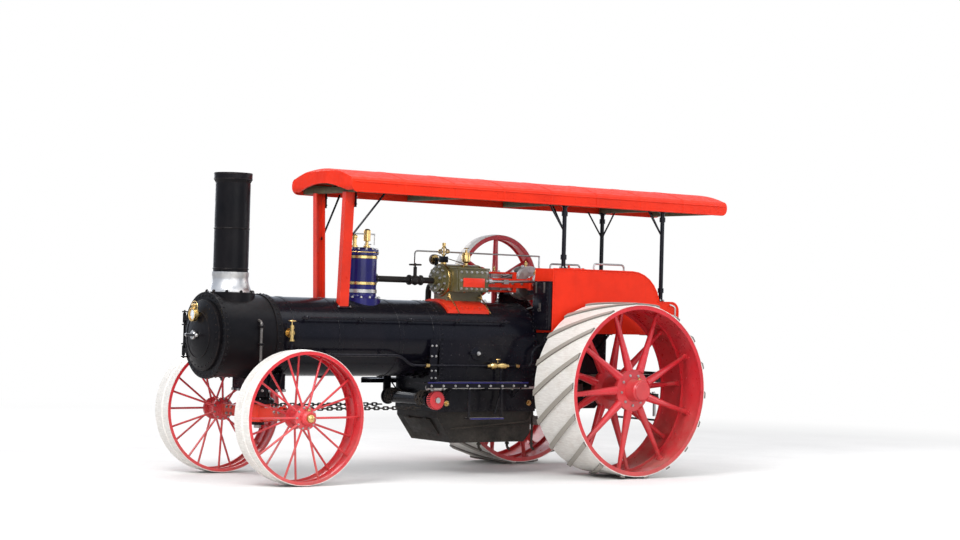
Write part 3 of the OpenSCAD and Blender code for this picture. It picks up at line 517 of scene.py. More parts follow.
class Graph:
    """A short way to write a node tree."""

    def __init__(self, tree: bpy.types.NodeTree) -> None:
        """Keeps the tree that nodes are added to."""
        self.tree = tree

    @classmethod
    def fresh(cls, owner: bpy.types.ID) -> "Graph":
        """An empty graph for a new material or world.

        Args:
            owner: the material or world.

        Returns:
            The graph.
        """
        owner.use_nodes = True
        owner.node_tree.nodes.clear()
        return cls(owner.node_tree)

    def add(self, kind: str, settings: Optional[dict] = None, **inputs: Value) -> bpy.types.Node:
        """Adds a node.

        Args:
            kind: the node's type.
            settings: its properties.
            **inputs: its inputs by name, with _ for a space: a value, or a socket to link from.

        Returns:
            The node.
        """
        node = self.tree.nodes.new(kind)
        for key, value in (settings or {}).items():
            setattr(node, key, value)
        for key, value in inputs.items():
            self.put(node.inputs[key.replace("_", " ")], value)
        return node

    def put(self, socket: Socket, value: Value) -> None:
        """Links a socket, or sets its value.

        Args:
            socket: the input.
            value: the socket to link from, or a value.
        """
        if isinstance(value, Socket):
            self.tree.links.new(value, socket)
        else:
            socket.default_value = value

    def feed(self, node: bpy.types.Node, values: Sequence[Value],
            sockets: Sequence[int] = range(5)) -> bpy.types.Node:
        """Feeds values to a node's inputs, by number, and gives the node back.

        Args:
            node: the node.
            values: what its inputs take.
            sockets: the inputs' numbers.

        Returns:
            The node.
        """
        for number, value in zip(sockets, values):
            self.put(node.inputs[number], value)
        return node

    def math(self, operation: str, a: Value, b: Value = 0.0, clamp: bool = False) -> Socket:
        """Adds a Math node and gives its result."""
        return self.feed(self.add("ShaderNodeMath", {"operation": operation, "use_clamp": clamp}),
            (a, b)).outputs[0]

    def times(self, a: Value, b: Value, clamp: bool = False) -> Socket:
        """The product of two values."""
        return self.math("MULTIPLY", a, b, clamp)

    def plus(self, a: Value, b: Value, clamp: bool = False) -> Socket:
        """The sum of two values."""
        return self.math("ADD", a, b, clamp)

    def vector(self, operation: str, *values: Value) -> bpy.types.Node:
        """Adds a Vector Math node and gives it."""
        return self.feed(self.add("ShaderNodeVectorMath", {"operation": operation}), values)

    def mix(self, factor: Value, a: Value, b: Value) -> Socket:
        """Mixes two colours and gives the result."""
        return self.feed(self.add("ShaderNodeMix", {"data_type": "RGBA"}), (factor, a, b), (0, 6, 7)).outputs[2]

    def blend(self, factor: Value, a: Socket, b: Socket) -> Socket:
        """Mixes two shaders and gives the result."""
        return self.feed(self.add("ShaderNodeMixShader"), (factor, a, b)).outputs[0]

    def ramp(self, value: Value, low: Value, high: Value, out_low: Value = 0.0,
            out_high: Value = 1.0) -> Socket:
        """Maps a range of values to another, smoothly and held at its ends."""
        return self.feed(self.add("ShaderNodeMapRange", {"interpolation_type": "SMOOTHSTEP"}),
            (value, low, high, out_low, out_high)).outputs[0]

    def noise(self, place: Value, scale: Value, detail: float = 4.0, rough: float = 0.6) -> Socket:
        """Adds a noise texture and gives its value."""
        return self.add("ShaderNodeTexNoise", Vector=place, Scale=scale, Detail=detail,
            Roughness=rough).outputs[0]

    def place(self) -> Socket:
        """The shaded point's place."""
        return self.add("ShaderNodeTexCoord").outputs["Object"]

    def stretched(self, place: Value, scale: Point) -> Socket:
        """A place scaled along each direction, for drawn-out patterns."""
        return self.add("ShaderNodeMapping", Vector=place, Scale=scale).outputs[0]

    def apart(self, place: Value) -> bpy.types.NodeOutputs:
        """A place's X, Y and Z."""
        return self.add("ShaderNodeSeparateXYZ", Vector=place).outputs

    def group(self, tree: bpy.types.NodeTree, **inputs: Value) -> bpy.types.NodeOutputs:
        """Adds a shared group and gives its outputs."""
        return self.add("ShaderNodeGroup", {"node_tree": tree}, **inputs).outputs


class Effects:
    """Shader node groups that several finishes share, each built once."""

    def __init__(self) -> None:
        """Builds the groups."""
        self.wear = self.build_wear()
        self.dust = self.build_dust()
        self.streaks = self.build_streaks()
        self.mottle = self.build_mottle()

    @staticmethod
    def start(name: str, inputs: dict[str, float],
            outputs: Sequence[str]) -> tuple[bpy.types.NodeTree, Graph, dict]:
        """Starts a node group.

        Args:
            name: the group's name.
            inputs: its number inputs with their defaults.
            outputs: its number outputs.

        Returns:
            The group, a graph to write it with, and its input sockets by name.
        """
        group = bpy.data.node_groups.new(name, "ShaderNodeTree")
        for key, value in inputs.items():
            socket = group.interface.new_socket(key, in_out="INPUT", socket_type="NodeSocketFloat")
            socket.default_value = value
        for key in outputs:
            group.interface.new_socket(key, in_out="OUTPUT", socket_type="NodeSocketFloat")
        graph = Graph(group)
        entry = graph.add("NodeGroupInput")
        return group, graph, {s.name: s for s in entry.outputs}

    @staticmethod
    def end(graph: Graph, **outputs: Socket) -> None:
        """Links a group's outputs by name."""
        graph.add("NodeGroupOutput", **outputs)

    def build_wear(self) -> bpy.types.NodeTree:
        """Bare metal at corners and in small chips.

        Returns:
            The group's tree.
        """
        group, graph, at = self.start("CornerWear", {"Corners": 0.5, "Chips": 0.3, "Reach": 0.006, "Seed": 0.0},
            ["Mask"])
        shifted = graph.vector("ADD", graph.place(), at["Seed"]).outputs[0]
        bevel = graph.add("ShaderNodeBevel", {"samples": 3}, Radius=at["Reach"])
        flat = graph.add("ShaderNodeNewGeometry").outputs["Normal"]
        dot = graph.vector("DOT_PRODUCT", bevel.outputs[0], flat)
        corner = graph.ramp(graph.math("SUBTRACT", 1.0, dot.outputs["Value"]), 0.01, 0.12)
        patches = graph.noise(shifted, 34.0, 5.0, 0.7)
        worn = graph.times(corner, graph.ramp(patches, 0.42, 0.62))
        worn = graph.times(worn, at["Corners"])
        specks = graph.ramp(graph.noise(shifted, 85.0, 3.0, 0.75), 0.7, 0.74)
        broad = graph.ramp(graph.noise(shifted, 3.1, 2.0, 0.5), 0.5, 0.7)
        chips = graph.times(graph.times(specks, broad), at["Chips"])
        self.end(graph, Mask=graph.math("MAXIMUM", worn, chips))
        return group

    def build_dust(self) -> bpy.types.NodeTree:
        """Dust that lies low down and on what faces up.

        Returns:
            The group's tree.
        """
        group, graph, at = self.start("RoadDust", {"Height": 1.0, "Low": 0.5, "Upward": 0.3}, ["Mask"])
        place = graph.place()
        z = graph.apart(place)["Z"]
        cloud = graph.noise(place, 2.6, 6.0, 0.7)
        fine = graph.noise(place, 38.0, 4.0, 0.7)
        low = graph.times(graph.ramp(z, at["Height"], 0.0), at["Low"])
        facing = graph.apart(graph.add("ShaderNodeNewGeometry").outputs["Normal"])["Z"]
        upward = graph.times(graph.ramp(facing, 0.35, 0.95), at["Upward"])
        total = graph.plus(low, upward)
        broken = graph.ramp(graph.plus(cloud, graph.times(fine, 0.4)), 0.45, 0.95)
        self.end(graph, Mask=graph.times(total, broken, True))
        return group

    def build_streaks(self) -> bpy.types.NodeTree:
        """Runs of water and oil down a surface.

        Returns:
            The group's tree.
        """
        group, graph, at = self.start("Runs", {"Scale": 9.0, "Amount": 0.4}, ["Mask"])
        place = graph.place()
        lines = graph.noise(graph.stretched(place, (1.0, 1.0, 0.06)), at["Scale"], 4.0, 0.65)
        broad = graph.noise(place, 1.7, 3.0, 0.5)
        runs = graph.times(graph.ramp(lines, 0.52, 0.72), graph.ramp(broad, 0.4, 0.65))
        self.end(graph, Mask=graph.times(runs, at["Amount"], True))
        return group

    def build_mottle(self) -> bpy.types.NodeTree:
        """Soft uneven patches, and a fine grain for bumps.

        Returns:
            The group's tree.
        """
        group, graph, at = self.start("Mottle", {"Patches": 2.5, "Grain": 180.0, "Seed": 0.0},
            ["Patch", "Grain", "Middle"])
        shifted = graph.vector("ADD", graph.place(), at["Seed"]).outputs[0]
        patch = graph.noise(shifted, at["Patches"], 5.0, 0.6)
        grain = graph.noise(shifted, at["Grain"], 3.0, 0.6)
        middle = graph.noise(shifted, 21.0, 4.0, 0.6)
        self.end(graph, Patch=patch, Grain=grain, Middle=middle)
        return group


def tint(red: float, green: float, blue: float) -> Colour:
    """An opaque colour."""
    return (red, green, blue, 1.0)


DUST = tint(0.42, 0.37, 0.3)
PRIMER = tint(0.16, 0.1, 0.07)
STEEL = tint(0.42, 0.41, 0.39)


@dataclass(frozen=True)
class Finish:
    """A painted, cast or bare surface, with its wear, dust and grain.

    Attributes:
        name: the material's name.
        slot: the record's material slot that it stands for.
        colour: its main colour.
        shade: the colour of its darker patches.
        rough: its roughness where it is clean.
        metallic: whether it is metal.
        coat: the weight of its gloss coat.
        under: the colour where it is worn through.
        corners: how far its corners are worn.
        chips: how far it is chipped.
        dust_height: how high road dust reaches, in metres.
        dust: how thick the low dust is.
        topdust: how thick dust lies on what faces up.
        runs: how strong the runs down it are.
        grain: the size of its fine bumps.
        bump: their strength.
        seed: what sets its patches apart from another finish's.
        shine: the strength of the reflection at its surface.
        gloss: the roughness of the gloss coat.
    """

    name: str
    slot: str
    colour: Colour
    shade: Colour
    rough: float = 0.35
    metallic: float = 0.0
    coat: float = 0.0
    under: Colour = PRIMER
    corners: float = 0.5
    chips: float = 0.3
    dust_height: float = 1.0
    dust: float = 0.35
    topdust: float = 0.2
    runs: float = 0.3
    grain: float = 180.0
    bump: float = 0.08
    seed: float = 0.0
    shine: float = 0.5
    gloss: float = 0.12

    def make(self, effects: Effects) -> bpy.types.Material:
        """Builds the material once and gives it again when asked.

        Args:
            effects: the shared node groups.

        Returns:
            The material.
        """
        if self.name in bpy.data.materials:
            return bpy.data.materials[self.name]
        material = bpy.data.materials.new(self.name)
        graph = Graph.fresh(material)
        shader = graph.add("ShaderNodeBsdfPrincipled", Metallic=self.metallic, Coat_Weight=self.coat,
            Coat_Roughness=self.gloss, Specular_IOR_Level=self.shine)
        mottle = graph.group(effects.mottle, Grain=self.grain, Seed=self.seed)
        colour = graph.mix(graph.ramp(mottle["Patch"], 0.35, 0.7), self.colour, self.shade)
        colour, rough, metal = self.body(graph, effects, colour, mottle)
        graph.put(shader.inputs["Base Color"], colour)
        graph.put(shader.inputs["Roughness"], rough)
        if metal is not None:
            graph.put(shader.inputs["Metallic"], metal)
        bump = graph.add("ShaderNodeBump", Strength=self.bump, Distance=0.004,
            Height=self.height(graph, mottle))
        graph.put(shader.inputs["Normal"], bump.outputs[0])
        graph.add("ShaderNodeOutputMaterial", Surface=shader.outputs[0])
        return material

    def height(self, graph: Graph, mottle: bpy.types.NodeOutputs) -> Socket:
        """The fine unevenness that the bump shows."""
        return graph.plus(graph.times(mottle["Middle"], 0.5), mottle["Grain"])

    def body(self, graph: Graph, effects: Effects, colour: Socket,
            mottle: bpy.types.NodeOutputs) -> tuple[Socket, Socket, Optional[Socket]]:
        """Lays wear, runs and dust over the main colour.

        Args:
            graph: the material's graph.
            effects: the shared node groups.
            colour: the clean colour's socket.
            mottle: the mottle group's outputs.

        Returns:
            Sockets for colour, roughness and metallic, the last None where it is constant.
        """
        wear = graph.group(effects.wear, Corners=self.corners, Chips=self.chips, Seed=self.seed)["Mask"]
        runs = graph.group(effects.streaks, Amount=self.runs)["Mask"]
        dust = graph.group(effects.dust, Height=self.dust_height, Low=self.dust, Upward=self.topdust)["Mask"]
        darker = graph.mix(runs, colour, tuple(c * 0.45 for c in self.shade[:3]) + (1.0,))
        worn = graph.mix(wear, darker, self.under)
        dusty = graph.mix(dust, worn, DUST)
        base = graph.ramp(mottle["Middle"], 0.3, 0.75, self.rough * 0.85, min(1.0, self.rough * 1.3))
        rough = graph.plus(base, graph.times(dust, 0.45), True)
        rough = graph.plus(rough, graph.times(wear, 0.15), True)
        return dusty, rough, None


@dataclass(frozen=True)
class WheelFinish(Finish):
    """Paint on a wheel whose tread is bare steel outside a given radius.

    Attributes:
        centre: the axle's x and z.
        tread: the radius outside which the steel is bare.
        lug: the radius outside which a lug stands; the lugs are painted darker as painted shade.
    """

    centre: tuple[float, float] = (0.0, 0.0)
    tread: float = 1.0
    lug: float = 9.0

    def body(self, graph: Graph, effects: Effects, colour: Socket,
            mottle: bpy.types.NodeOutputs) -> tuple[Socket, Socket, Optional[Socket]]:
        """Lays bare, dusty steel over the paint on the tread, with painted shade on the lugs.

        Args:
            graph: the material's graph.
            effects: the shared node groups.
            colour: the clean colour's socket.
            mottle: the mottle group's outputs.

        Returns:
            Sockets for colour, roughness and metallic.
        """
        painted, rough, _ = super().body(graph, effects, colour, mottle)
        place = graph.place()
        apart = graph.apart(place)
        x, z = (graph.math("SUBTRACT", apart[key], middle) for key, middle in zip("XZ", self.centre))
        radius = graph.math("SQRT", graph.plus(graph.times(x, x), graph.times(z, z)))
        ragged = graph.plus(radius, graph.times(mottle["Middle"], 0.006))
        tread = graph.ramp(ragged, self.tread - 0.001, self.tread + 0.004)
        rust = graph.ramp(graph.noise(place, 7.0, 6.0, 0.7), 0.48, 0.72)
        scuffs = graph.stretched(place, (18.0, 2.0, 18.0))
        bright = graph.ramp(graph.noise(scuffs, 6.0, 5.0, 0.7), 0.4, 0.7)
        steel = graph.mix(bright, tint(0.7, 0.67, 0.63), tint(0.84, 0.82, 0.78))
        steel = graph.mix(graph.times(rust, 0.3), steel, tint(0.5, 0.41, 0.33))
        # The lugs' flanks are painted near black and their tops darker than the tread: painted shade for the
        # lugs' shadow lines.
        steel = graph.mix(graph.ramp(radius, self.lug, self.lug + 0.002), steel, tint(0.15, 0.13, 0.115))
        steel = graph.mix(graph.ramp(radius, self.lug + 0.015, self.lug + 0.018), steel, tint(0.34, 0.31, 0.27))
        colour = graph.mix(tread, painted, steel)
        mixed = graph.plus(graph.times(tread, 0.28), rough, True)
        metal = graph.times(tread, 0.12)
        return colour, mixed, metal


@dataclass(frozen=True)
class Boards(Finish):
    """Worn boards with grain along one direction.

    Attributes:
        board: the width of a board.
    """

    board: float = 0.15

    def body(self, graph: Graph, effects: Effects, colour: Socket,
            mottle: bpy.types.NodeOutputs) -> tuple[Socket, Socket, Optional[Socket]]:
        """Lays grain and gaps between boards.

        Args:
            graph: the material's graph.
            effects: the shared node groups.
            colour: the clean colour's socket.
            mottle: the mottle group's outputs.

        Returns:
            Sockets for colour and roughness, and None for metallic.
        """
        place = graph.place()
        grain = graph.noise(graph.stretched(place, (1.2, 26.0, 26.0)), 6.0, 7.0, 0.7)
        y = graph.plus(graph.apart(place)["Y"], 10.0)
        saw = graph.math("FRACT", graph.math("DIVIDE", y, self.board))
        gap = graph.ramp(graph.math("ABSOLUTE", graph.math("SUBTRACT", saw, 0.5)), 0.47, 0.495)
        wood = graph.mix(graph.ramp(grain, 0.3, 0.75), colour, self.shade)
        wood = graph.mix(gap, wood, tint(0.02, 0.015, 0.01))
        dust = graph.group(effects.dust, Height=3.0, Low=self.dust, Upward=self.topdust)["Mask"]
        return graph.mix(dust, wood, DUST), graph.ramp(grain, 0.2, 0.8, 0.6, 0.85), None


@dataclass(frozen=True)
class TreadPlate(Finish):
    """Iron plate with a raised diamond pattern."""

    def height(self, graph: Graph, mottle: bpy.types.NodeOutputs) -> Socket:
        """Adds crossed raised bars to the plate's grain.

        Args:
            graph: the material's graph.
            mottle: the mottle group's outputs.

        Returns:
            The height's socket.
        """
        place = graph.apart(graph.place())
        bars = []
        for sign in (1.0, -1.0):
            slant = graph.plus(place["X"], graph.times(place["Y"], sign))
            bars.append(graph.ramp(graph.math("SINE", graph.times(slant, 150.0)), 0.75, 0.95))
        crossed = graph.math("MAXIMUM", *bars)
        return graph.plus(graph.times(crossed, 3.0), super().height(graph, mottle))


@dataclass
class Paints:
    """The engine's finishes, made for this frame."""

    effects: Effects
    red: Finish = Finish("orange_red_enamel", "orange_red_paint", tint(0.66, 0.028, 0.008),
        tint(0.52, 0.021, 0.007), rough=0.32, coat=0.18, dust=0.16, topdust=0.05, shine=0.25)
    wheel_red: Finish = Finish("wheel_red_paint", "orange_red_paint", tint(0.64, 0.024, 0.034),
        tint(0.5, 0.016, 0.026), rough=0.3, coat=0.3, dust=0.22, topdust=0.12, seed=2.0, shine=0.4)
    canopy_red: Finish = Finish("canopy_red_paint", "red_paint", tint(0.73, 0.026, 0.005),
        tint(0.62, 0.02, 0.004), rough=0.5, coat=0.0, corners=0.3, chips=0.1, dust=0.1, topdust=0.04, runs=0.14,
        seed=3.0, shine=0.16)
    black: Finish = Finish("gloss_black_paint", "black_paint", tint(0.003, 0.003, 0.006),
        tint(0.006, 0.005, 0.008), rough=0.22, coat=0.08, under=tint(0.08, 0.07, 0.07), dust=0.08, topdust=0.02,
        seed=7.0, shine=0.12)
    # Black with a deep blue painted in, copying the sky's reflection on black gloss: painted reflection, used
    # on the dome and the footboard edges.
    blue: Finish = Finish("blue_black_enamel", "black_paint", tint(0.012, 0.01, 0.115),
        tint(0.008, 0.007, 0.07), rough=0.22, coat=0.15, under=tint(0.08, 0.07, 0.09), dust=0.06, topdust=0.04,
        seed=8.0, shine=0.2)
    stove: Finish = Finish("stove_polish", "stove_black", tint(0.003, 0.003, 0.004), tint(0.007, 0.006, 0.007),
        rough=0.34, under=tint(0.07, 0.048, 0.038), dust=0.07, topdust=0.02, grain=120.0, bump=0.14, seed=11.0,
        shine=0.09)
    # The jacket's own olive, made darker to match the shade under the canopy: partly painted shade.
    olive: Finish = Finish("olive_jacket", "olive_lagging", tint(0.098, 0.082, 0.03), tint(0.06, 0.05, 0.022),
        rough=0.3, coat=0.2, under=STEEL, topdust=0.05, seed=13.0, shine=0.35)
    brass: Finish = Finish("polished_brass", "brass", tint(0.72, 0.5, 0.19), tint(0.47, 0.31, 0.12), rough=0.24,
        metallic=1.0, under=tint(0.3, 0.2, 0.1), corners=0.1, chips=0.1, topdust=0.08, bump=0.04, seed=17.0)
    copper: Finish = Finish("copper_tube", "brass", tint(0.62, 0.28, 0.16), tint(0.34, 0.16, 0.1), rough=0.3,
        metallic=1.0, under=tint(0.15, 0.12, 0.09), corners=0.1, chips=0.1, topdust=0.08, bump=0.04, seed=18.0)
    steel: Finish = Finish("bright_steel", "bare_steel", tint(0.52, 0.51, 0.5), tint(0.34, 0.32, 0.3),
        rough=0.38, metallic=1.0, under=tint(0.2, 0.14, 0.1), corners=0.2, chips=0.3, topdust=0.1, seed=19.0)
    gear_iron: Finish = Finish("gear_iron", "bare_steel", tint(0.12, 0.11, 0.105), tint(0.07, 0.06, 0.055),
        rough=0.42, metallic=0.7, under=tint(0.45, 0.43, 0.4), corners=0.9, chips=0.4, topdust=0.2, seed=21.0)
    iron: Finish = Finish("dark_iron", "black_paint", tint(0.009, 0.008, 0.008), tint(0.02, 0.016, 0.014),
        rough=0.5, under=tint(0.12, 0.08, 0.055), corners=0.6, chips=0.4, dust=0.12, topdust=0.1, grain=90.0,
        bump=0.2, seed=23.0, shine=0.15)
    boards: Finish = Boards("floor_boards", "timber", tint(0.2, 0.13, 0.075), tint(0.12, 0.075, 0.045),
        rough=0.7, dust=0.3, topdust=0.4, seed=29.0)
    ceiling: Finish = Boards("ceiling_boards", "timber", tint(0.13, 0.115, 0.055), tint(0.085, 0.075, 0.04),
        rough=0.5, dust=0.0, topdust=0.0, seed=31.0, board=0.11)
    coal: Finish = Finish("broken_coal", "black_paint", tint(0.012, 0.012, 0.013), tint(0.03, 0.03, 0.03),
        rough=0.35, corners=0.0, chips=0.0, grain=60.0, bump=0.6, seed=37.0)
    leather: Finish = Finish("belt_leather", "timber", tint(0.1, 0.055, 0.03), tint(0.06, 0.035, 0.02),
        rough=0.55, corners=0.2, seed=41.0, grain=260.0, bump=0.2)
    tread_plate: Finish = TreadPlate("tread_plate", "black_paint", tint(0.05, 0.05, 0.052),
        tint(0.09, 0.085, 0.08), rough=0.42, metallic=0.4, under=STEEL, corners=0.6, topdust=0.35, bump=0.5,
        seed=43.0)
    glass: Finish = Finish("lamp_glass", "brass", tint(0.72, 0.76, 0.8), tint(0.6, 0.64, 0.7), rough=0.06,
        coat=1.0, corners=0.0, chips=0.0, dust=0.0, topdust=0.1, runs=0.1, bump=0.02, seed=47.0)
    dial: Finish = Finish("dial_face", "brass", tint(0.82, 0.8, 0.74), tint(0.72, 0.69, 0.6), rough=0.35,
        coat=0.8, corners=0.0, chips=0.0, dust=0.0, topdust=0.0, runs=0.1, bump=0.02, seed=53.0)

    def dress(self, piece: Piece, finish: Finish) -> Piece:
        """Gives a piece one finish.

        Args:
            piece: the piece.
            finish: its finish.

        Returns:
            The piece.
        """
        material = finish.make(self.effects)
        if piece.get("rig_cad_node"):
            for slot in piece.material_slots:
                slot.material = material
        else:
            piece.data.materials.clear()
            piece.data.materials.append(material)
        return piece


# Places


@dataclass
class Places:
    """Where the frame's main pieces are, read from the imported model, in metres."""

    rear_x: float = 0.0
    front_x: float = 0.0
    rear_r: float = 0.0
    front_r: float = 0.0
    barrel_r: float = 0.0
    barrel_z: float = 0.0

    @classmethod
    def read(cls) -> "Places":
        """Reads the places from the CAD nodes' boxes.

        Returns:
            The places.
        """
        made = cls()
        low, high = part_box("rear_wheel_left")
        made.rear_x, made.rear_r = (low.x + high.x) / 2, (high.z - low.z) / 2
        low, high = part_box("front_wheel_left")
        made.front_x, made.front_r = (low.x + high.x) / 2, (high.z - low.z) / 2
        low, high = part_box("boiler_barrel")
        made.barrel_r, made.barrel_z = (high.y - low.y) / 2, (high.z + low.z) / 2
        return made


@dataclass
class SubAssembly(Bench):
    """A group of fittings. Its lengths along x are metres ahead of the rear axle."""

    places: Places
    paints: Paints
    body: str = "machine"
    made: list[Piece] = field(default_factory=list)

    def at(self, x: float, y: float, z: float) -> Point:
        """The frame's point for lengths ahead of the rear axle, to the left and up."""
        return (x + self.places.rear_x, y, z)

    def spot(self, place: Point, out: Way) -> Matrix:
        """A place for a copy, with its own z along a direction."""
        return spot(self.at(*place), out)

    def line(self, start: Point, end: Point, count: int, out: Way) -> list[Matrix]:
        """Places evenly along a line, all facing one way."""
        a, b = Vector(self.at(*start)), Vector(self.at(*end))
        return [spot(a.lerp(b, i / max(count - 1, 1)), out) for i in range(count)]

    def circle(self, centre: Point, axis: Axis, radius: float, count: int, outward: bool, start: float = 0.0,
            sweep: float = FULL_TURN, flip: bool = False) -> list[Matrix]:
        """Places evenly round a circle.

        Args:
            centre: the circle's centre.
            axis: its axis.
            radius: its radius.
            count: the number of places.
            outward: whether heads point away from the axis, or along it.
            start: the angle of the first place.
            sweep: the angle that the places share.
            flip: whether heads along the axis point the other way.

        Returns:
            The places.
        """
        along = Vector(axis.value)
        first = Vector(axis.noon)
        second = along.cross(first)
        share = sweep / count if sweep == FULL_TURN else sweep / max(count - 1, 1)
        places = []
        for i in range(count):
            arm = first * math.cos(start + i * share) + second * math.sin(start + i * share)
            out = arm if outward else (-along if flip else along)
            places.append(spot(Vector(self.at(*centre)) + arm * radius, out))
        return places

    def crown(self, y: float, radius: Optional[float] = None) -> float:
        """The height of the boiler's top at a distance from its middle."""
        r = radius or self.places.barrel_r
        return self.places.barrel_z + math.sqrt(r * r - y * y)

    def fit(self, piece: Piece, finish: Finish, body: Optional[str] = None) -> Piece:
        """Dresses a new piece, sets its slot and lets it ride on its body.

        Args:
            piece: the piece, in its place.
            finish: its finish.
            body: the CAD body that it moves with, or the group's own.

        Returns:
            The piece.
        """
        self.paints.dress(piece, finish)
        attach(piece, body or self.body)
        self.made.append(piece)
        return piece

    def join(self, name: str, pieces: Sequence[Piece], finish: Finish, body: Optional[str] = None) -> Piece:
        """Joins new pieces and fits them as one."""
        return self.fit(self.joined(name, pieces), finish, body)

    def rivets(self, name: str, spots: Sequence[Matrix], radius: float, finish: Finish) -> Piece:
        """Fits a dome-headed rivet at each place."""
        return self.fit(self.copies(name, Bench.rivet(radius), spots), finish)

    def nuts(self, name: str, spots: Sequence[Matrix], width: float, finish: Finish) -> Piece:
        """Fits a nut with its stud at each place."""
        return self.fit(self.copies(name, Bench.nut(width), spots), finish)

    def hand_wheel(self, centre: Point, axis: Way, radius: float) -> list[Piece]:
        """A small valve wheel with its cross bars and spindle.

        Args:
            centre: the wheel's middle.
            axis: the spindle's direction, outwards.
            radius: the wheel's radius.

        Returns:
            The pieces.
        """
        out = Vector(axis).normalized()
        side = out.orthogonal().normalized()
        other = out.cross(side)
        middle = Vector(centre)
        bars = [self.rod(tuple(middle - arm * radius), tuple(middle + arm * radius), radius * 0.1, 8)
            for arm in (side, other)]
        return [self.ring(centre, axis, radius, radius * 0.16, 24), *bars,
            self.rod(tuple(middle - out * radius * 1.3), tuple(middle + out * radius * 0.3), radius * 0.16, 10)]

    def oil_cup(self, foot: Point) -> Piece:
        """A small turned oil cup with a lid.

        Args:
            foot: the middle of its foot.

        Returns:
            The piece.
        """
        profile = [(0.0, 0.0), (0.007, 0.0), (0.007, 0.012), (0.016, 0.016), (0.017, 0.038), (0.013, 0.042),
            (0.013, 0.046), (0.005, 0.05), (0.004, 0.058), (0.0, 0.059)]
        return self.turned(profile, foot, (0, 0, 1), 14)

    def build(self) -> None:
        """Builds the group's pieces."""
        raise NotImplementedError


# Boiler


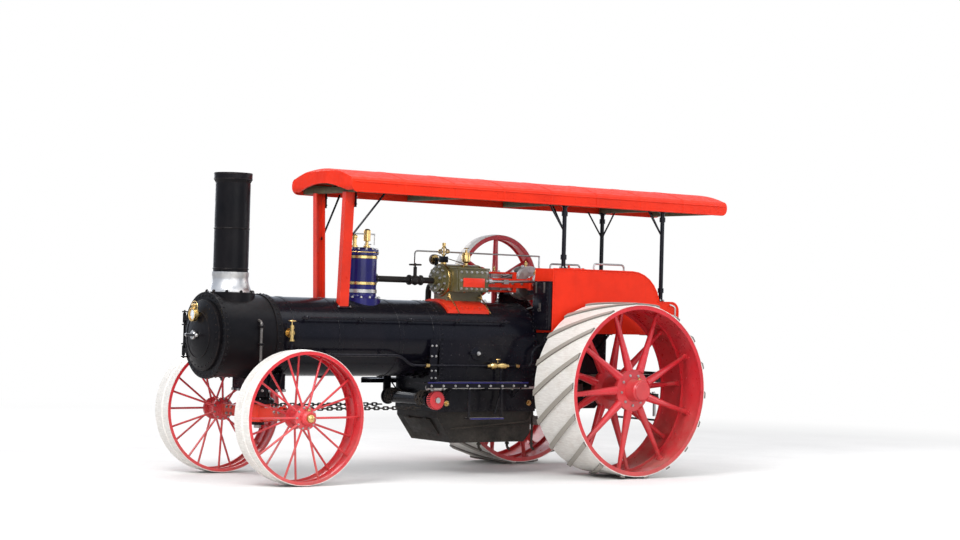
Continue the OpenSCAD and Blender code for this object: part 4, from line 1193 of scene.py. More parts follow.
@dataclass
class BoilerDress(SubAssembly):
    """Bands, rivets, stays, plugs, handrails and pipes on the boiler."""

    band_x: tuple[float, ...] = (1.85, 2.24, 2.92, 3.4)
    band_w: float = 0.045
    band_t: float = 0.004
    rivet_r: float = 0.011
    firebox_x: tuple[float, float] = (0.62, 1.8)
    firebox_low: float = 0.62
    smokebox_x: tuple[float, float] = (3.56, 4.16)
    smokebox_r: float = 0.382
    rail_z: float = 1.5

    def build(self) -> None:
        """Builds the boiler's fittings."""
        r, z = self.places.barrel_r, self.places.barrel_z
        bands = [self.hoop((x, 0, z), Axis.FORWARD, r, r + self.band_t, self.band_w, 96) for x in self.band_x]
        bands += [self.bar((x - 0.018, -0.03, z - r - 0.018), (x + 0.018, 0.03, z - r)) for x in self.band_x]
        self.join("barrel_bands", bands, self.paints.black)
        self.build_smokebox()
        self.build_firebox()
        self.build_rails()
        self.build_feed()
        self.build_exhaust()

    def build_smokebox(self) -> None:
        """Rivets round the smokebox, and the drain pipe on its side."""
        r, z = self.smokebox_r, self.places.barrel_z
        rear, front = self.smokebox_x
        self.rivets("smokebox_rivets", [*self.circle((rear + 0.03, 0, z), Axis.FORWARD, r + 0.01, 44, True),
            *self.circle((front - 0.025, 0, z), Axis.FORWARD, r + 0.012, 44, True),
            *self.circle((front, 0, z), Axis.FORWARD, r - 0.018, 36, False),
            *self.line((rear + 0.1, 0, z - r), (front - 0.08, 0, z - r), 10, (0, 0, -1))], self.rivet_r,
            self.paints.stove)
        drains, clips = [], []
        for s in BOTH:
            y = s * (r + 0.022)
            drains.append(self.pipe([(3.8, s * 0.35, 1.47), (3.8, y, 1.45), (3.8, y, 1.02),
                (3.8, s * 0.3, 0.9)], 0.013))
            clips += [self.bar((3.775, y - 0.018, h), (3.825, y + 0.017, h + 0.022)) for h in (1.4, 1.24)]
        self.join("smokebox_drains", drains, self.paints.gear_iron)
        self.join("drain_clips", clips, self.paints.stove)
        lugs = [self.bar((front - 0.01, -0.366, z + h), (front + 0.042, -0.3, z + h + 0.013))
            for h in (-0.214, -0.096, 0.082, 0.2)]
        lugs.append(self.rod((front + 0.024, -0.347, z - 0.222), (front + 0.024, -0.347, z + 0.222), 0.008))
        self.join("door_hinge_lugs", lugs, self.paints.stove)

    def build_firebox(self) -> None:
        """Rivets round the firebox, stay heads on its sides, plugs and inspection doors."""
        r, z = self.places.barrel_r, self.places.barrel_z
        rear, front = self.firebox_x
        low = self.firebox_low
        spots, stays, plugs, doors, bolts = [], [], [], [], []
        for s in BOTH:
            out = (0, s, 0)
            spots += self.line((rear + 0.03, s * r, low + 0.03), (front - 0.03, s * r, low + 0.03), 24, out)
            for x in (rear + 0.03, front - 0.03):
                spots += self.line((x, s * r, low + 0.08), (x, s * r, z), 14, out)
            for row in range(6):
                height = low + 0.13 + row * 0.105
                stays += self.line((rear + 0.14, s * r, height), (front - 0.14, s * r, height), 10, out)
            for x in (rear + 0.09, front - 0.09):
                plugs += [self.rod((x, s * (r - 0.01), low + 0.085), (x, s * (r + 0.016), low + 0.085), 0.028,
                    24), self.rod((x, s * r, low + 0.085), (x, s * (r + 0.036), low + 0.085), 0.015, 4)]
            dish = [(0.0, 0.02), (0.03, 0.018), (0.052, 0.012), (0.066, 0.01), (0.07, 0.0)]
            doors += [self.turned(dish, (1.36, s * r, 1.05 + 0.14), out, 36),
                self.bar((1.27, s * (r + 0.026) - 0.007, 1.178), (1.45, s * (r + 0.026) + 0.007, 1.202))]
            bolts.append(self.spot((1.36, s * (r + 0.033), 1.19), out))
        for x in (rear + 0.03, front - 0.03):
            spots += self.circle((x, 0, z), Axis.FORWARD, r, 24, True, 0.0, math.pi)
        self.rivets("firebox_rivets", spots, self.rivet_r, self.paints.black)
        self.rivets("stay_heads", stays, 0.0075, self.paints.black)
        self.join("washout_plugs", plugs, self.paints.brass)
        self.join("inspection_doors", doors, self.paints.black)
        self.nuts("inspection_door_nuts", bolts, 0.03, self.paints.steel)

    def build_rails(self) -> None:
        """The handrails along the boiler's sides, on turned knobs."""
        y = math.sqrt(self.places.barrel_r**2 - 0.18**2) + 0.055
        knob = [(0.0, 0.0), (0.022, 0.0), (0.022, 0.006), (0.009, 0.012), (0.008, 0.03), (0.017, 0.042),
            (0.02, 0.055), (0.017, 0.068), (0.0, 0.074)]
        pieces = []
        for s in BOTH:
            pieces.append(self.pipe([(0.97, s * y, self.rail_z), (3.36, s * y, self.rail_z)], 0.011))
            pieces += [self.turned(knob, (x, s * (y - 0.055), self.rail_z), (0, s, 0), 16)
                for x in (1.02, 1.58, 2.14, 2.7, 3.3)]
        self.join("boiler_handrails", pieces, self.paints.black)

    def build_feed(self) -> None:
        """The feed pipe from the check valve back to the injector and the tank, with its unions."""
        y = 0.424
        route = [(3.49, 0.418, 1.285), (3.49, y, 1.165), (2.3, y, 1.165), (2.16, y, 1.07), (0.72, y, 1.07),
            (0.72, y, 1.22), (0.56, y, 1.32), (0.56, y, 1.412)]
        self.join("feed_pipe", [self.pipe(route, 0.013), self.pipe([(1.1, y, 1.06), (1.1, y, 0.8),
            (1.16, y, 0.6)], 0.01)], self.paints.black)
        injector = [(0.0, -0.13), (0.018, -0.13), (0.018, -0.1), (0.03, -0.09), (0.03, -0.03), (0.022, -0.015),
            (0.022, 0.02), (0.034, 0.035), (0.034, 0.075), (0.018, 0.09), (0.018, 0.13), (0.0, 0.13)]
        brass = [self.turned(injector, (1.14, y, 1.07), (1, 0, 0), 24)]
        brass += [self.rod((x - 0.02, y, h), (x + 0.02, y, h), 0.023, 6)
            for x, h in ((3.2, 1.165), (1.98, 1.07), (0.9, 1.07))]
        self.join("feed_pipe_clips", [*[self.bar((x - 0.01, 0.325, 1.15), (x + 0.01, y + 0.004, 1.156), 0.002)
            for x in (3.05, 2.45)], *[self.hoop((x, y, 1.165), Axis.FORWARD, 0.0125, 0.018, 0.02, 24)
            for x in (3.05, 2.45)]], self.paints.black)
        brass += [*self.hand_wheel((3.49, 0.418, 1.47), (0, 0, 1), 0.034),
            *self.hand_wheel((1.14, y, 1.135), (0, 0, 1), 0.026)]
        self.join("injector_and_unions", brass, self.paints.brass)
        blower = [(0.6, -0.2, 1.6), (0.66, -0.31, 1.56), (3.5, -0.31, 1.56), (3.72, -0.33, 1.53)]
        self.join("blower_pipe", [self.pipe(blower, 0.009, 0.08)], self.paints.copper)

    def build_exhaust(self) -> None:
        """The exhaust pipe from the cylinder's right side to the smokebox."""
        route = [(1.48, -0.12, 1.86), (1.48, -0.31, 1.86), (1.48, -0.31, 1.64), (3.56, -0.31, 1.64),
            (3.7, -0.22, 1.6)]
        collars = [self.hoop((x, -0.31, 1.64), Axis.FORWARD, 0.029, 0.046, 0.03, 24) for x in (2.05, 3.3)]
        self.join("exhaust_pipe", [self.pipe(route, 0.03, 0.09), *collars], self.paints.iron)


@dataclass
class SmokeboxFront(SubAssembly):
    """What the smokebox door carries: rivets, handle ends and the lamp's rim and glass."""

    body: str = "smokebox_door"
    face_x: float = 4.16
    dish_r: float = 0.78946
    dish_depth: float = 0.0923
    rivet_ring: float = 0.29
    lamp_z: float = 1.505
    handle_x: float = 4.293

    def dish(self, radius: float) -> float:
        """How far the dished plate stands ahead of the smokebox at a radius."""
        return self.dish_depth - self.dish_r + math.sqrt(self.dish_r**2 - radius**2)

    def build(self) -> None:
        """Builds the door's fittings."""
        z, ring, count = self.places.barrel_z, self.rivet_ring, 28
        middle = Vector(self.at(self.face_x + self.dish(ring), 0, z))
        spots = []
        for i in range(count):
            angle = FULL_TURN * (i + 0.5) / count
            arm = Vector((0, math.cos(angle), math.sin(angle)))
            if arm.z < 0.97:  # the lamp's bracket stands above
                out = Vector((math.sqrt(self.dish_r**2 - ring**2), 0, 0)) + arm * ring
                spots.append(spot(middle + arm * ring, out))
        spots += [self.spot((self.face_x + 0.034, y, z + h), (1, 0, 0)) for h in (-0.15, 0.15)
            for y in (-0.32, -0.27, -0.22)]
        self.rivets("door_rivets", spots, 0.009, self.paints.stove)
        self.join("door_beads", [self.ring((self.face_x + 0.02, 0, z), (1, 0, 0), 0.316, 0.007, 80),
            self.ring((self.face_x + self.dish(0.21) + 0.001, 0, z), (1, 0, 0), 0.21, 0.005, 72)],
            self.paints.stove)
        hub = [(0.0, 0.012), (0.034, 0.012), (0.04, 0.004), (0.04, -0.014), (0.028, -0.02), (0.0, -0.02)]
        handle = [self.turned(hub, (self.handle_x - 0.012, 0, z), (1, 0, 0), 24)]
        for s in BOTH:
            handle.append(self.ball((self.handle_x, s * 0.097, z), 0.017))
        self.join("door_handle", handle, self.paints.steel)
        self.build_lamp()

    def build_lamp(self) -> None:
        """The lamp's brass rim, glass, chimney and bracket."""
        x = self.face_x + 0.082
        rim = [self.ring((x + 0.055, 0, self.lamp_z), (1, 0, 0), 0.056, 0.0055, 48)]
        vent = [(0.0, 0.0), (0.022, 0.0), (0.022, 0.02), (0.03, 0.026), (0.03, 0.032), (0.016, 0.042),
            (0.0, 0.045)]
        rim.append(self.turned(vent, (x + 0.03, 0, self.lamp_z + 0.058), (0, 0, 1), 20))
        bail = [(x + 0.03, -0.062, self.lamp_z + 0.01), (x + 0.03, -0.055, self.lamp_z + 0.12),
            (x + 0.03, 0.055, self.lamp_z + 0.12), (x + 0.03, 0.062, self.lamp_z + 0.01)]
        rim.append(self.pipe(bail, 0.0035, 0.05))
        self.join("lamp_rim", rim, self.paints.brass)
        glass = [(0.0, 0.056), (0.02, 0.0545), (0.038, 0.05), (0.05, 0.045)]
        self.join("lamp_glass", [self.turned(glass, (x, 0, self.lamp_z), (1, 0, 0), 36)], self.paints.glass)


@dataclass
class ChimneyDress(SubAssembly):
    """Chimney and dome: foot bolts, base rings, cap bead, valves' levers."""

    stack_x: float = 3.91
    stack_top: float = 2.81
    dome_x: float = 2.5
    dome_top: float = 2.16

    def build(self) -> None:
        """Builds the chimney's and the dome's fittings."""
        self.nuts("chimney_foot_nuts", self.circle((self.stack_x, 0, 1.716), Axis.UP, 0.212, 10, False, 0.3),
            0.026, self.paints.stove)
        rings = ((self.stack_top - 0.012, 0.172, 0.006), (self.stack_top - 0.058, 0.173, 0.006),
            (2.3, 0.158, 0.008), (1.93, 0.158, 0.008))
        self.join("chimney_beads", [*[self.ring((self.stack_x, 0, h), (0, 0, 1), r, w, 64)
            for h, r, w in rings], self.bar((self.stack_x - 0.176, -0.02, 1.95),
            (self.stack_x - 0.15, 0.02, 2.72))], self.paints.stove)
        self.rivets("chimney_seam_rivets", self.line((self.stack_x - 0.176, 0, 1.98),
            (self.stack_x - 0.176, 0, 2.7), 16, (-1, 0, 0)), 0.008, self.paints.stove)
        flare = [(0.16 + 0.07 * (1 - math.sin(a)) + 0.003, 1.714 + 0.15 * (1 - math.cos(a)))
            for a in (0.24, 0.42, 0.6, 0.79, 0.96, 1.14, 1.31, 1.48)]
        flare = [(0.15, flare[0][1])] + flare + [(0.168, 1.87), (0.168, 1.902), (0.15, 1.902)]
        self.join("polished_base_rings", [self.turned(flare, (self.stack_x, 0, 0), (0, 0, 1), 64),
            self.hoop((self.dome_x, 0, 1.765), Axis.UP, 0.158, 0.166, 0.035)], self.paints.steel)
        self.build_dome()

    def build_dome(self) -> None:
        """The dome's bolts and bands, the whistle's lever and the safety valve's lever."""
        x = self.dome_x
        self.nuts("dome_nuts", [*self.circle((x, 0, 1.7), Axis.UP, 0.19, 14, False, 0.2),
            *self.circle((x, 0, self.dome_top), Axis.UP, 0.16, 14, False)], 0.022, self.paints.steel)
        self.join("dome_bands", [*[self.hoop((x, 0, h), Axis.UP, 0.158, 0.165, 0.028) for h in (1.84, 2.09)],
            self.ring((x, 0, self.dome_top - 0.023), (0, 0, 1), 0.174, 0.006, 64)], self.paints.brass)
        top = self.dome_top + 0.022
        self.join("valve_levers", [self.bar((x - 0.16, -0.008, top + 0.125), (x + 0.14, 0.008, top + 0.139)),
            self.turned([(0.0, -0.03), (0.024, -0.03), (0.026, 0.0), (0.024, 0.03), (0.0, 0.03)],
            (x + 0.12, 0, top + 0.1), (0, 0, 1)), self.rod((x - 0.155, 0, top + 0.132),
            (x - 0.155, 0, top + 0.03), 0.005), self.bar((x - 0.15, -0.05, top + 0.03),
            (x - 0.07, -0.042, top + 0.042))], self.paints.steel)


# Engine


@dataclass
class CylinderDress(SubAssembly):
    """Cover nuts, lagging bands, valve chest, cocks, lubricator and stop valve."""

    rear_x: float = 1.09
    length: float = 0.5
    radius: float = 0.158
    z: float = 1.9
    saddle_r: float = 0.394

    def build(self) -> None:
        """Builds the cylinder's fittings."""
        x0, x1 = self.rear_x, self.rear_x + self.length
        self.join("lagging_bands", [self.hoop((x, 0, self.z), Axis.FORWARD, self.radius, self.radius + 0.0035,
            0.026, 72) for x in (x0 + 0.04, x0 + 0.25, x1 - 0.04)], self.paints.brass)
        self.nuts("cylinder_cover_nuts", [*self.circle((x1, 0, self.z), Axis.FORWARD, 0.131, 12, False, 0.26),
            *self.circle((x0 - 0.026, 0, self.z), Axis.FORWARD, 0.131, 12, False, 0.26, flip=True),
            *self.circle((x1 + 0.026, 0, self.z), Axis.FORWARD, 0.085, 8, False, 0.2)], 0.022,
            self.paints.steel)
        low, high = (x0 + 0.075, 0.2525, self.z - 0.1), (x1 - 0.075, 0.268, self.z + 0.1)
        self.join("valve_chest_cover", [self.bar(low, high, 0.006),
            self.bar((x0 + 0.052, 0.13, self.z + 0.112), (x1 - 0.052, 0.262, self.z + 0.126), 0.004)],
            self.paints.olive)
        panel = self.bar((low[0] + 0.045, 0.262, low[2] + 0.034), (high[0] - 0.045, 0.276, high[2] - 0.075),
            0.006)
        self.join("valve_chest_panel", [panel], self.paints.red)
        studs = []
        for h in (low[2] + 0.018, high[2] - 0.018):
            studs += self.line((low[0] + 0.02, 0.268, h), (high[0] - 0.02, 0.268, h), 6, (0, 1, 0))
        studs += [self.spot((x, 0.268, self.z), (0, 1, 0)) for x in (low[0] + 0.02, high[0] - 0.02)]
        self.nuts("valve_chest_nuts", studs, 0.02, self.paints.steel)
        self.build_fittings(x0, x1)

    def build_fittings(self, x0: float, x1: float) -> None:
        """Drain cocks, the lubricator, the stop valve and its rod, and the saddle's bolts.

        Args:
            x0: the cylinder's rear end.
            x1: its front end.
        """
        brass = []
        for x in (x0 + 0.06, x1 - 0.06):
            brass += [self.rod((x, 0.125, self.z - 0.135), (x, 0.145, self.z - 0.185), 0.01, 10),
                self.rod((x, 0.13, self.z - 0.165), (x + 0.05, 0.165, self.z - 0.165), 0.005, 8),
                self.pipe([(x, 0.145, self.z - 0.18), (x, 0.19, self.z - 0.21), (x, 0.3, 1.58)], 0.006, 0.03)]
        lubricator = [(0.0, 0.0), (0.018, 0.0), (0.018, 0.02), (0.042, 0.035), (0.045, 0.1), (0.036, 0.115),
            (0.036, 0.125), (0.012, 0.13), (0.012, 0.15), (0.0, 0.152)]
        brass += [self.turned(lubricator, (x0 + 0.16, 0.0, self.z + self.radius - 0.002), (0, 0, 1), 28),
            *self.hand_wheel((x0 + 0.16, 0.0, self.z + self.radius + 0.165), (0, 0, 1), 0.024)]
        valve = [(0.0, -0.075), (0.05, -0.075), (0.05, -0.06), (0.036, -0.045), (0.052, 0.0), (0.036, 0.045),
            (0.05, 0.06), (0.05, 0.075), (0.0, 0.075)]
        self.join("cylinder_brass", brass, self.paints.brass)
        self.join("stop_valve", [self.turned(valve, (1.86, 0, self.z - 0.01), (1, 0, 0), 28),
            self.rod((1.86, 0, self.z), (1.86, 0, self.z + 0.12), 0.018, 16),
            *self.hand_wheel((1.86, 0, self.z + 0.14), (0, 0, 1), 0.055)], self.paints.iron)
        flanges = [place for x in (1.785, 1.935, 2.324)
            for place in self.circle((x, 0, self.z - 0.01), Axis.FORWARD, 0.042, 6, False, flip=x > 1.9)]
        self.nuts("steam_pipe_nuts", flanges, 0.014, self.paints.steel)
        self.join("regulator_rod", [self.pipe([(0.25, -0.1, self.z + 0.28), (1.8, -0.1, self.z + 0.28),
            (1.86, -0.02, self.z + 0.13)], 0.008, 0.04), self.rod((0.25, -0.1, self.z + 0.28),
            (0.25, -0.1, self.z + 0.16), 0.01)], self.paints.steel)
        bolts = []
        for s in BOTH:
            y = s * 0.245
            top = self.crown(y, self.saddle_r)
            bolts += self.line((x0 + 0.09, y, top), (x1 + 0.03, y, top), 7,
                (0, y, math.sqrt(self.saddle_r**2 - y * y)))
        self.nuts("saddle_nuts", bolts, 0.024, self.paints.red)


@dataclass
class MotionDress(SubAssembly):
    """Bearing caps, oil cups, cotters, slide bar bolts, governor belt and reversing gear."""

    crank_x: float = 0.5
    z: float = 1.9

    def build(self) -> None:
        """Builds the motion's fittings."""
        x, z = self.crank_x, self.z
        caps, nuts, cups = [], [], []
        for s in BOTH:
            y = s * 0.159
            caps += [self.bar((x - 0.074, y - 0.03, z + 0.004), (x + 0.074, y + 0.03, z + 0.016)),
                self.bar((x - 0.085, y - 0.026, z + 0.02), (x - 0.06, y + 0.026, z + 0.05)),
                self.bar((x + 0.06, y - 0.026, z + 0.02), (x + 0.085, y + 0.026, z + 0.05))]
            nuts += [self.spot((x + d, y, z + 0.05), (0, 0, 1)) for d in (-0.073, 0.073)]
            cups.append(self.oil_cup((x, y, z + 0.07)))
            for cx in (x + 0.25, 0.98):
                for h in (-1, 1):
                    nuts.append(self.spot((cx, s * 0.032 if cx > 0.9 else s * 0.118, z + h * 0.101), (0, 0, h)))
            nuts += self.line((0.55, s * 0.158, z - 0.01), (1.02, s * 0.158, z - 0.01), 5, (0, s, 0))
        self.join("bearing_caps", caps, self.paints.red)
        cups += [self.oil_cup((x, 0, z + 0.166)), self.oil_cup((0.9, 0.0, z + 0.1)),
            self.oil_cup((x, 0.235, z + 0.094))]
        self.join("oil_cups", cups, self.paints.brass)
        self.nuts("motion_nuts", nuts, 0.024, self.paints.steel)
        straps = [self.bar((x - 0.052, -0.03, z + 0.115), (x + 0.052, 0.03, z + 0.135)),
            self.bar((x + 0.03, -0.012, z + 0.075), (x + 0.046, 0.012, z + 0.18)),
            self.bar((0.862, -0.042, z - 0.05), (0.938, 0.042, z + 0.05), 0.006),
            self.rod((0.9, -0.052, z), (0.9, 0.052, z), 0.026, 24),
            self.hoop((x, 0.235, z + 0.014), Axis.LEFT, 0.08, 0.088, 0.026, 48)]
        straps += [self.rod((x, 0.235, z + 0.014 + d * 0.08), (x, 0.235, z + 0.014 + d * 0.1), 0.016, 6)
            for d in (-1, 1)]
        self.join("rod_straps", straps, self.paints.steel)
        self.build_governor()
        self.build_reverse()

    def build_governor(self) -> None:
        """The governor's pulley, its bevel shaft and the belt from the crankshaft."""
        gx, gy, z = 1.48, -0.06, self.z + 0.205
        self.join("governor_bracket", [self.rod((gx, gy, z), (gx, -0.245, z), 0.011),
            self.bar((gx - 0.035, gy - 0.035, z - 0.03), (gx + 0.035, gy + 0.03, z + 0.03)),
            self.bar((gx - 0.02, -0.188, z - 0.09), (gx + 0.02, -0.176, z + 0.02)),
            self.bar((gx - 0.02, -0.188, z - 0.09), (gx + 0.02, -0.08, z - 0.078))], self.paints.black)
        pulley = [(0.012, -0.022), (0.045, -0.022), (0.047, 0.0), (0.045, 0.022), (0.012, 0.022)]
        self.join("governor_pulley", [self.turned(pulley, (gx, -0.225, z), (0, 1, 0), 28)], self.paints.brass)
        r0, r1 = 0.038, 0.05
        a, b = Vector((self.crank_x, 0, self.z)), Vector((gx, 0, z))
        base = math.atan2((b - a).z, (b - a).x)
        lean = math.acos((r0 - r1) / (b - a).length)
        route = []
        for middle, radius, start, sweep in ((a, r0, base + lean, FULL_TURN - 2 * lean),
                (b, r1, base - lean, 2 * lean)):
            for i in range(13):
                angle = start + sweep * i / 12
                route.append((middle.x + radius * math.cos(angle), -0.24, middle.z + radius * math.sin(angle)))
        self.join("governor_belt", [self.strip(route, (0, 0.03, 0), 0.004, True)], self.paints.leather)
        self.join("governor_ball_bands", [self.hoop((gx, gy + s * 0.062, self.z + 0.287), Axis.UP, 0.0225,
            0.0255, 0.006, 24) for s in BOTH], self.paints.steel)

    def build_reverse(self) -> None:
        """The reversing lever on its toothed quadrant and the reach rod to the valve gear."""
        px, py, pz = 0.24, 0.262, 1.02
        self.join("reversing_lever", [self.pipe([(px, py, pz), (px - 0.16, py, 1.84)], 0.012),
            self.rod((px, py - 0.02, pz), (px, py + 0.02, pz), 0.03),
            self.rod((px - 0.168, py, 1.8), (px - 0.19, py, 1.92), 0.018),
            self.pipe([(px - 0.2, py, 1.88), (px - 0.205, py, 1.78), (px - 0.16, py, 1.7)], 0.005, 0.02),
            self.pipe([(px - 0.12, py, 1.62), (0.36, py, 1.76), (0.44, 0.235, 1.84)], 0.009, 0.06)],
            self.paints.steel)
        arc = [(px - 0.5 * math.sin(a), py - 0.02, pz + 0.5 * math.cos(a))
            for a in [0.05 + 0.3 * i / 11 for i in range(12)]]
        quadrant = [self.strip(arc, (0, 0.006, 0), 0.03)]
        for i in range(9):
            a = 0.06 + 0.28 * i / 8
            q = Vector((px - 0.518 * math.sin(a), py - 0.017, pz + 0.518 * math.cos(a)))
            quadrant.append(self.bar((q.x - 0.005, q.y - 0.003, q.z - 0.005),
                (q.x + 0.005, q.y + 0.003, q.z + 0.006), 0.001))
        quadrant.append(self.pipe([(px - 0.02, py - 0.017, pz + 0.51), (px + 0.16, py - 0.017, pz + 0.3),
            (px + 0.2, 0.285, pz + 0.1)], 0.009, 0.05))
        self.join("reversing_quadrant", quadrant, self.paints.iron)


@dataclass
class FlywheelDress(SubAssembly):
    """The flywheel's hub ring, bolts, key and rim beads, and the crank discs' nuts."""

    body: str = "crank"
    x: float = 0.5
    z: float = 1.9
    y: float = -0.521
    rim_in: float = 0.458
    width: float = 0.148

    def build(self) -> None:
        """Builds what turns with the crankshaft."""
        x, y, z = self.x, self.y, self.z
        beads = [self.hoop((x, y + s * (self.width / 2 - 0.01), z), Axis.LEFT, self.rim_in - 0.012,
            self.rim_in + 0.002, 0.014, 96) for s in BOTH]
        beads += [self.hoop((x, y - self.width / 2 - 0.01, z), Axis.LEFT, 0.05, 0.074, 0.016, 48),
            self.hoop((x, y + self.width / 2 - 0.004, z), Axis.LEFT, 0.05, 0.074, 0.016, 48)]
        self.join("flywheel_beads", beads, self.paints.wheel_red)
        self.nuts("flywheel_hub_nuts", self.circle((x, y - self.width / 2 - 0.018, z), Axis.LEFT, 0.062, 6,
            False, 0.3, flip=True), 0.018, self.paints.steel)
        shaft = [self.bar((x - 0.01, y - 0.098, z + 0.03), (x + 0.01, y - 0.06, z + 0.05), 0.002),
            self.hoop((x, -0.215, z), Axis.LEFT, 0.033, 0.05, 0.024, 32),
            self.turned([(0.0, 0.0), (0.026, 0.0), (0.03, 0.006), (0.03, 0.016), (0.0, 0.016)], (x, -0.618, z),
            (0, -1, 0))]
        for s in BOTH:
            face = s * 0.0785
            shaft += [self.hoop((x, face, z), Axis.LEFT, 0.033, 0.062, 0.008, 36),
                self.rod((x, s * 0.07, z + 0.125), (x, s * 0.086, z + 0.125), 0.03, 6),
                self.hoop((x, face, z), Axis.LEFT, 0.15, 0.164, 0.006, 64)]
        self.join("crank_collars", shaft, self.paints.steel)


@dataclass
class GearDress(SubAssembly):
    """Hub nuts and rim ribs on the gears."""

    gears: tuple[tuple[float, float, float, float], ...] = ((0.34, 1.634, 0.06, 0.166),
        (0.0, 0.865, 0.125, 0.382))
    low: tuple[float, float] = (0.2508, 1.3319)
    y: float = -0.3717
    width: float = 0.06

    def build(self) -> None:
        """Builds the gears' trim."""
        ribs, nuts = [], []
        for x, z, hub, rim in self.gears:
            ribs += [self.hoop((x, y, z), Axis.LEFT, rim - 0.01, rim, 0.006, 72)
                for y in (self.y + 0.001, self.y - self.width - 0.001)]
            count = 8 if hub > 0.1 else 6
            nuts += self.circle((x, self.y - self.width, z), Axis.LEFT, hub - 0.018, count, False, 0.2,
                flip=True)
        for x, z in ((self.gears[0][0], self.gears[0][1]), self.low):
            ribs.append(self.rod((x, self.y - self.width - 0.022, z), (x, self.y - self.width - 0.036, z), 0.02,
                6))
        self.join("gear_ribs", ribs, self.paints.gear_iron)
        self.nuts("gear_hub_nuts", nuts, 0.02, self.paints.steel)


# Wheels


def radial_spot(centre: Way, angle: float, radius: float, y: float) -> Matrix:
    """A place inside a wheel's rim: its own z points to the axle and its own y along it.

    Args:
        centre: the wheel's middle.
        angle: how far round the place is.
        radius: its distance from the axle.
        y: its distance from the wheel's middle.

    Returns:
        The place.
    """
    arm = Vector((math.cos(angle), 0, math.sin(angle)))
    inward, along = -arm, Vector((0, 1, 0))
    side = along.cross(inward)
    place = Vector(centre) + arm * radius + along * y
    turn = Matrix((side, along, inward)).transposed().to_4x4()
    return Matrix.Translation(place) @ turn


@dataclass
class WheelDress(SubAssembly):
    """Rim angles, spoke feet, rivets, hub nuts, hub rings and the grease cup of one wheel.

    Attributes:
        side: the engine's side that the wheel is on.
        x: the axle, ahead of the rear axle.
        y: the wheel's middle, from the centre line.
        z: the axle's height.
        rim_in: the rim's inner radius.
        width: the tread's width.
        spokes: the spokes in a row.
        foot_y: where a spoke meets the rim, from the wheel's middle.
        foot_turn: how far round it lands, in degrees.
        flange: the hub flange's nut circle and its face, as radius and distance from the middle.
        hub_end: the hub's end radius and distance from the wheel's middle.
        rib: the height of the rim's edge angles.
    """

    side: Side = Side.LEFT
    x: float = 0.0
    y: float = 0.945
    z: float = 0.865
    rim_in: float = 0.831
    width: float = 0.61
    spokes: int = 9
    foot_y: float = 0.0975
    foot_turn: float = 4.0
    flange: tuple[float, float] = (0.15, 0.19)
    hub_end: tuple[float, float] = (0.088, 0.345)
    rib: float = 0.034

    @property
    def centre(self) -> Point:
        """The wheel's middle."""
        return self.at(self.x, self.side.value * self.y, self.z)

    def build(self) -> None:
        """Builds the wheel's trim."""
        y, red, edge = self.side.value * self.y, self.paints.wheel_red, self.width / 2 - 0.006
        sizes = ((edge, self.rib, 0.01), (-edge, self.rib, 0.01), (0, self.rib * 0.8, 0.012))
        rims = [self.hoop((self.x, y + out, self.z), Axis.LEFT, self.rim_in - rib, self.rim_in + 0.001, thick,
            96) for out, rib, thick in sizes]
        self.join(f"{self.body}_rim_angles", rims, red)
        self.build_feet()
        self.build_hub()

    def spoke_angles(self) -> list[tuple[int, float]]:
        """Each spoke's row, 1 outside or -1 inside, and its angle at the hub."""
        return [(row, FULL_TURN / self.spokes * (i + (0 if row > 0 else 0.5))) for row in BOTH
            for i in range(self.spokes)]

    def build_feet(self) -> None:
        """The spokes' feet, bolted to the rim."""
        w = self.foot_y * 0.36
        foot = LOOSE.bar((-w * 0.9, -w * 1.25, 0.0), (w * 0.9, w * 1.25, w * 0.26), w * 0.12)
        collar = LOOSE.turned([(0.0, 0.0), (w * 0.86, 0.0), (w * 0.8, w * 0.5), (w * 0.66, w * 1.0),
            (0.0, w * 1.05)], (0, 0, 0), (0, 0, 1), 14)
        corners = [Matrix.Translation((x * w * 0.62, y * w, w * 0.25)) for x in (-1, 1) for y in (-1, 1)]
        pattern = self.joined("foot", [foot, collar, self.copies("heads", Bench.rivet(w * 0.2), corners)])
        places = [radial_spot(self.centre, angle + math.radians(self.foot_turn), self.rim_in,
            self.side.value * row * self.foot_y) for row, angle in self.spoke_angles()]
        self.fit(self.copies(f"{self.body}_spoke_feet", pattern, places), self.paints.wheel_red)

    def build_hub(self) -> None:
        """Nuts on the hub's flanges, its end ring, beads and grease cup."""
        s = self.side.value
        nuts = []
        for end in BOTH:
            start = math.pi / self.spokes * (0.9 if end > 0 else 1.9)
            face = s * (self.y + end * self.flange[1])
            nuts += self.circle((self.x, face, self.z), Axis.LEFT, self.flange[0], self.spokes, False, start,
                flip=end * s < 0)
        self.nuts(f"{self.body}_hub_nuts", nuts, 0.026 if self.spokes < 10 else 0.018, self.paints.steel)
        radius, reach = self.hub_end
        rings = [self.hoop((self.x, s * (self.y + reach - 0.012), self.z), Axis.LEFT, radius * 0.98,
            radius * 1.08, 0.018, 48)]
        rings += [self.ring((self.x, s * (self.y + reach - d), self.z), (0, 1, 0), self.flange[0] * 0.69, 0.006,
            48) for d in (0.03, 0.22)]
        self.join(f"{self.body}_hub_rings", rings, self.paints.wheel_red)
        cup = [(0.0, 0.0), (0.01, 0.0), (0.01, 0.012), (0.018, 0.016), (0.018, 0.034), (0.01, 0.04),
            (0.0, 0.042)]
        foot = (self.x, s * (self.y + reach * 0.82), self.z + radius * 0.98)
        self.join(f"{self.body}_grease_cup", [self.turned(cup, foot, (0, 0, 1), 16)], self.paints.brass)


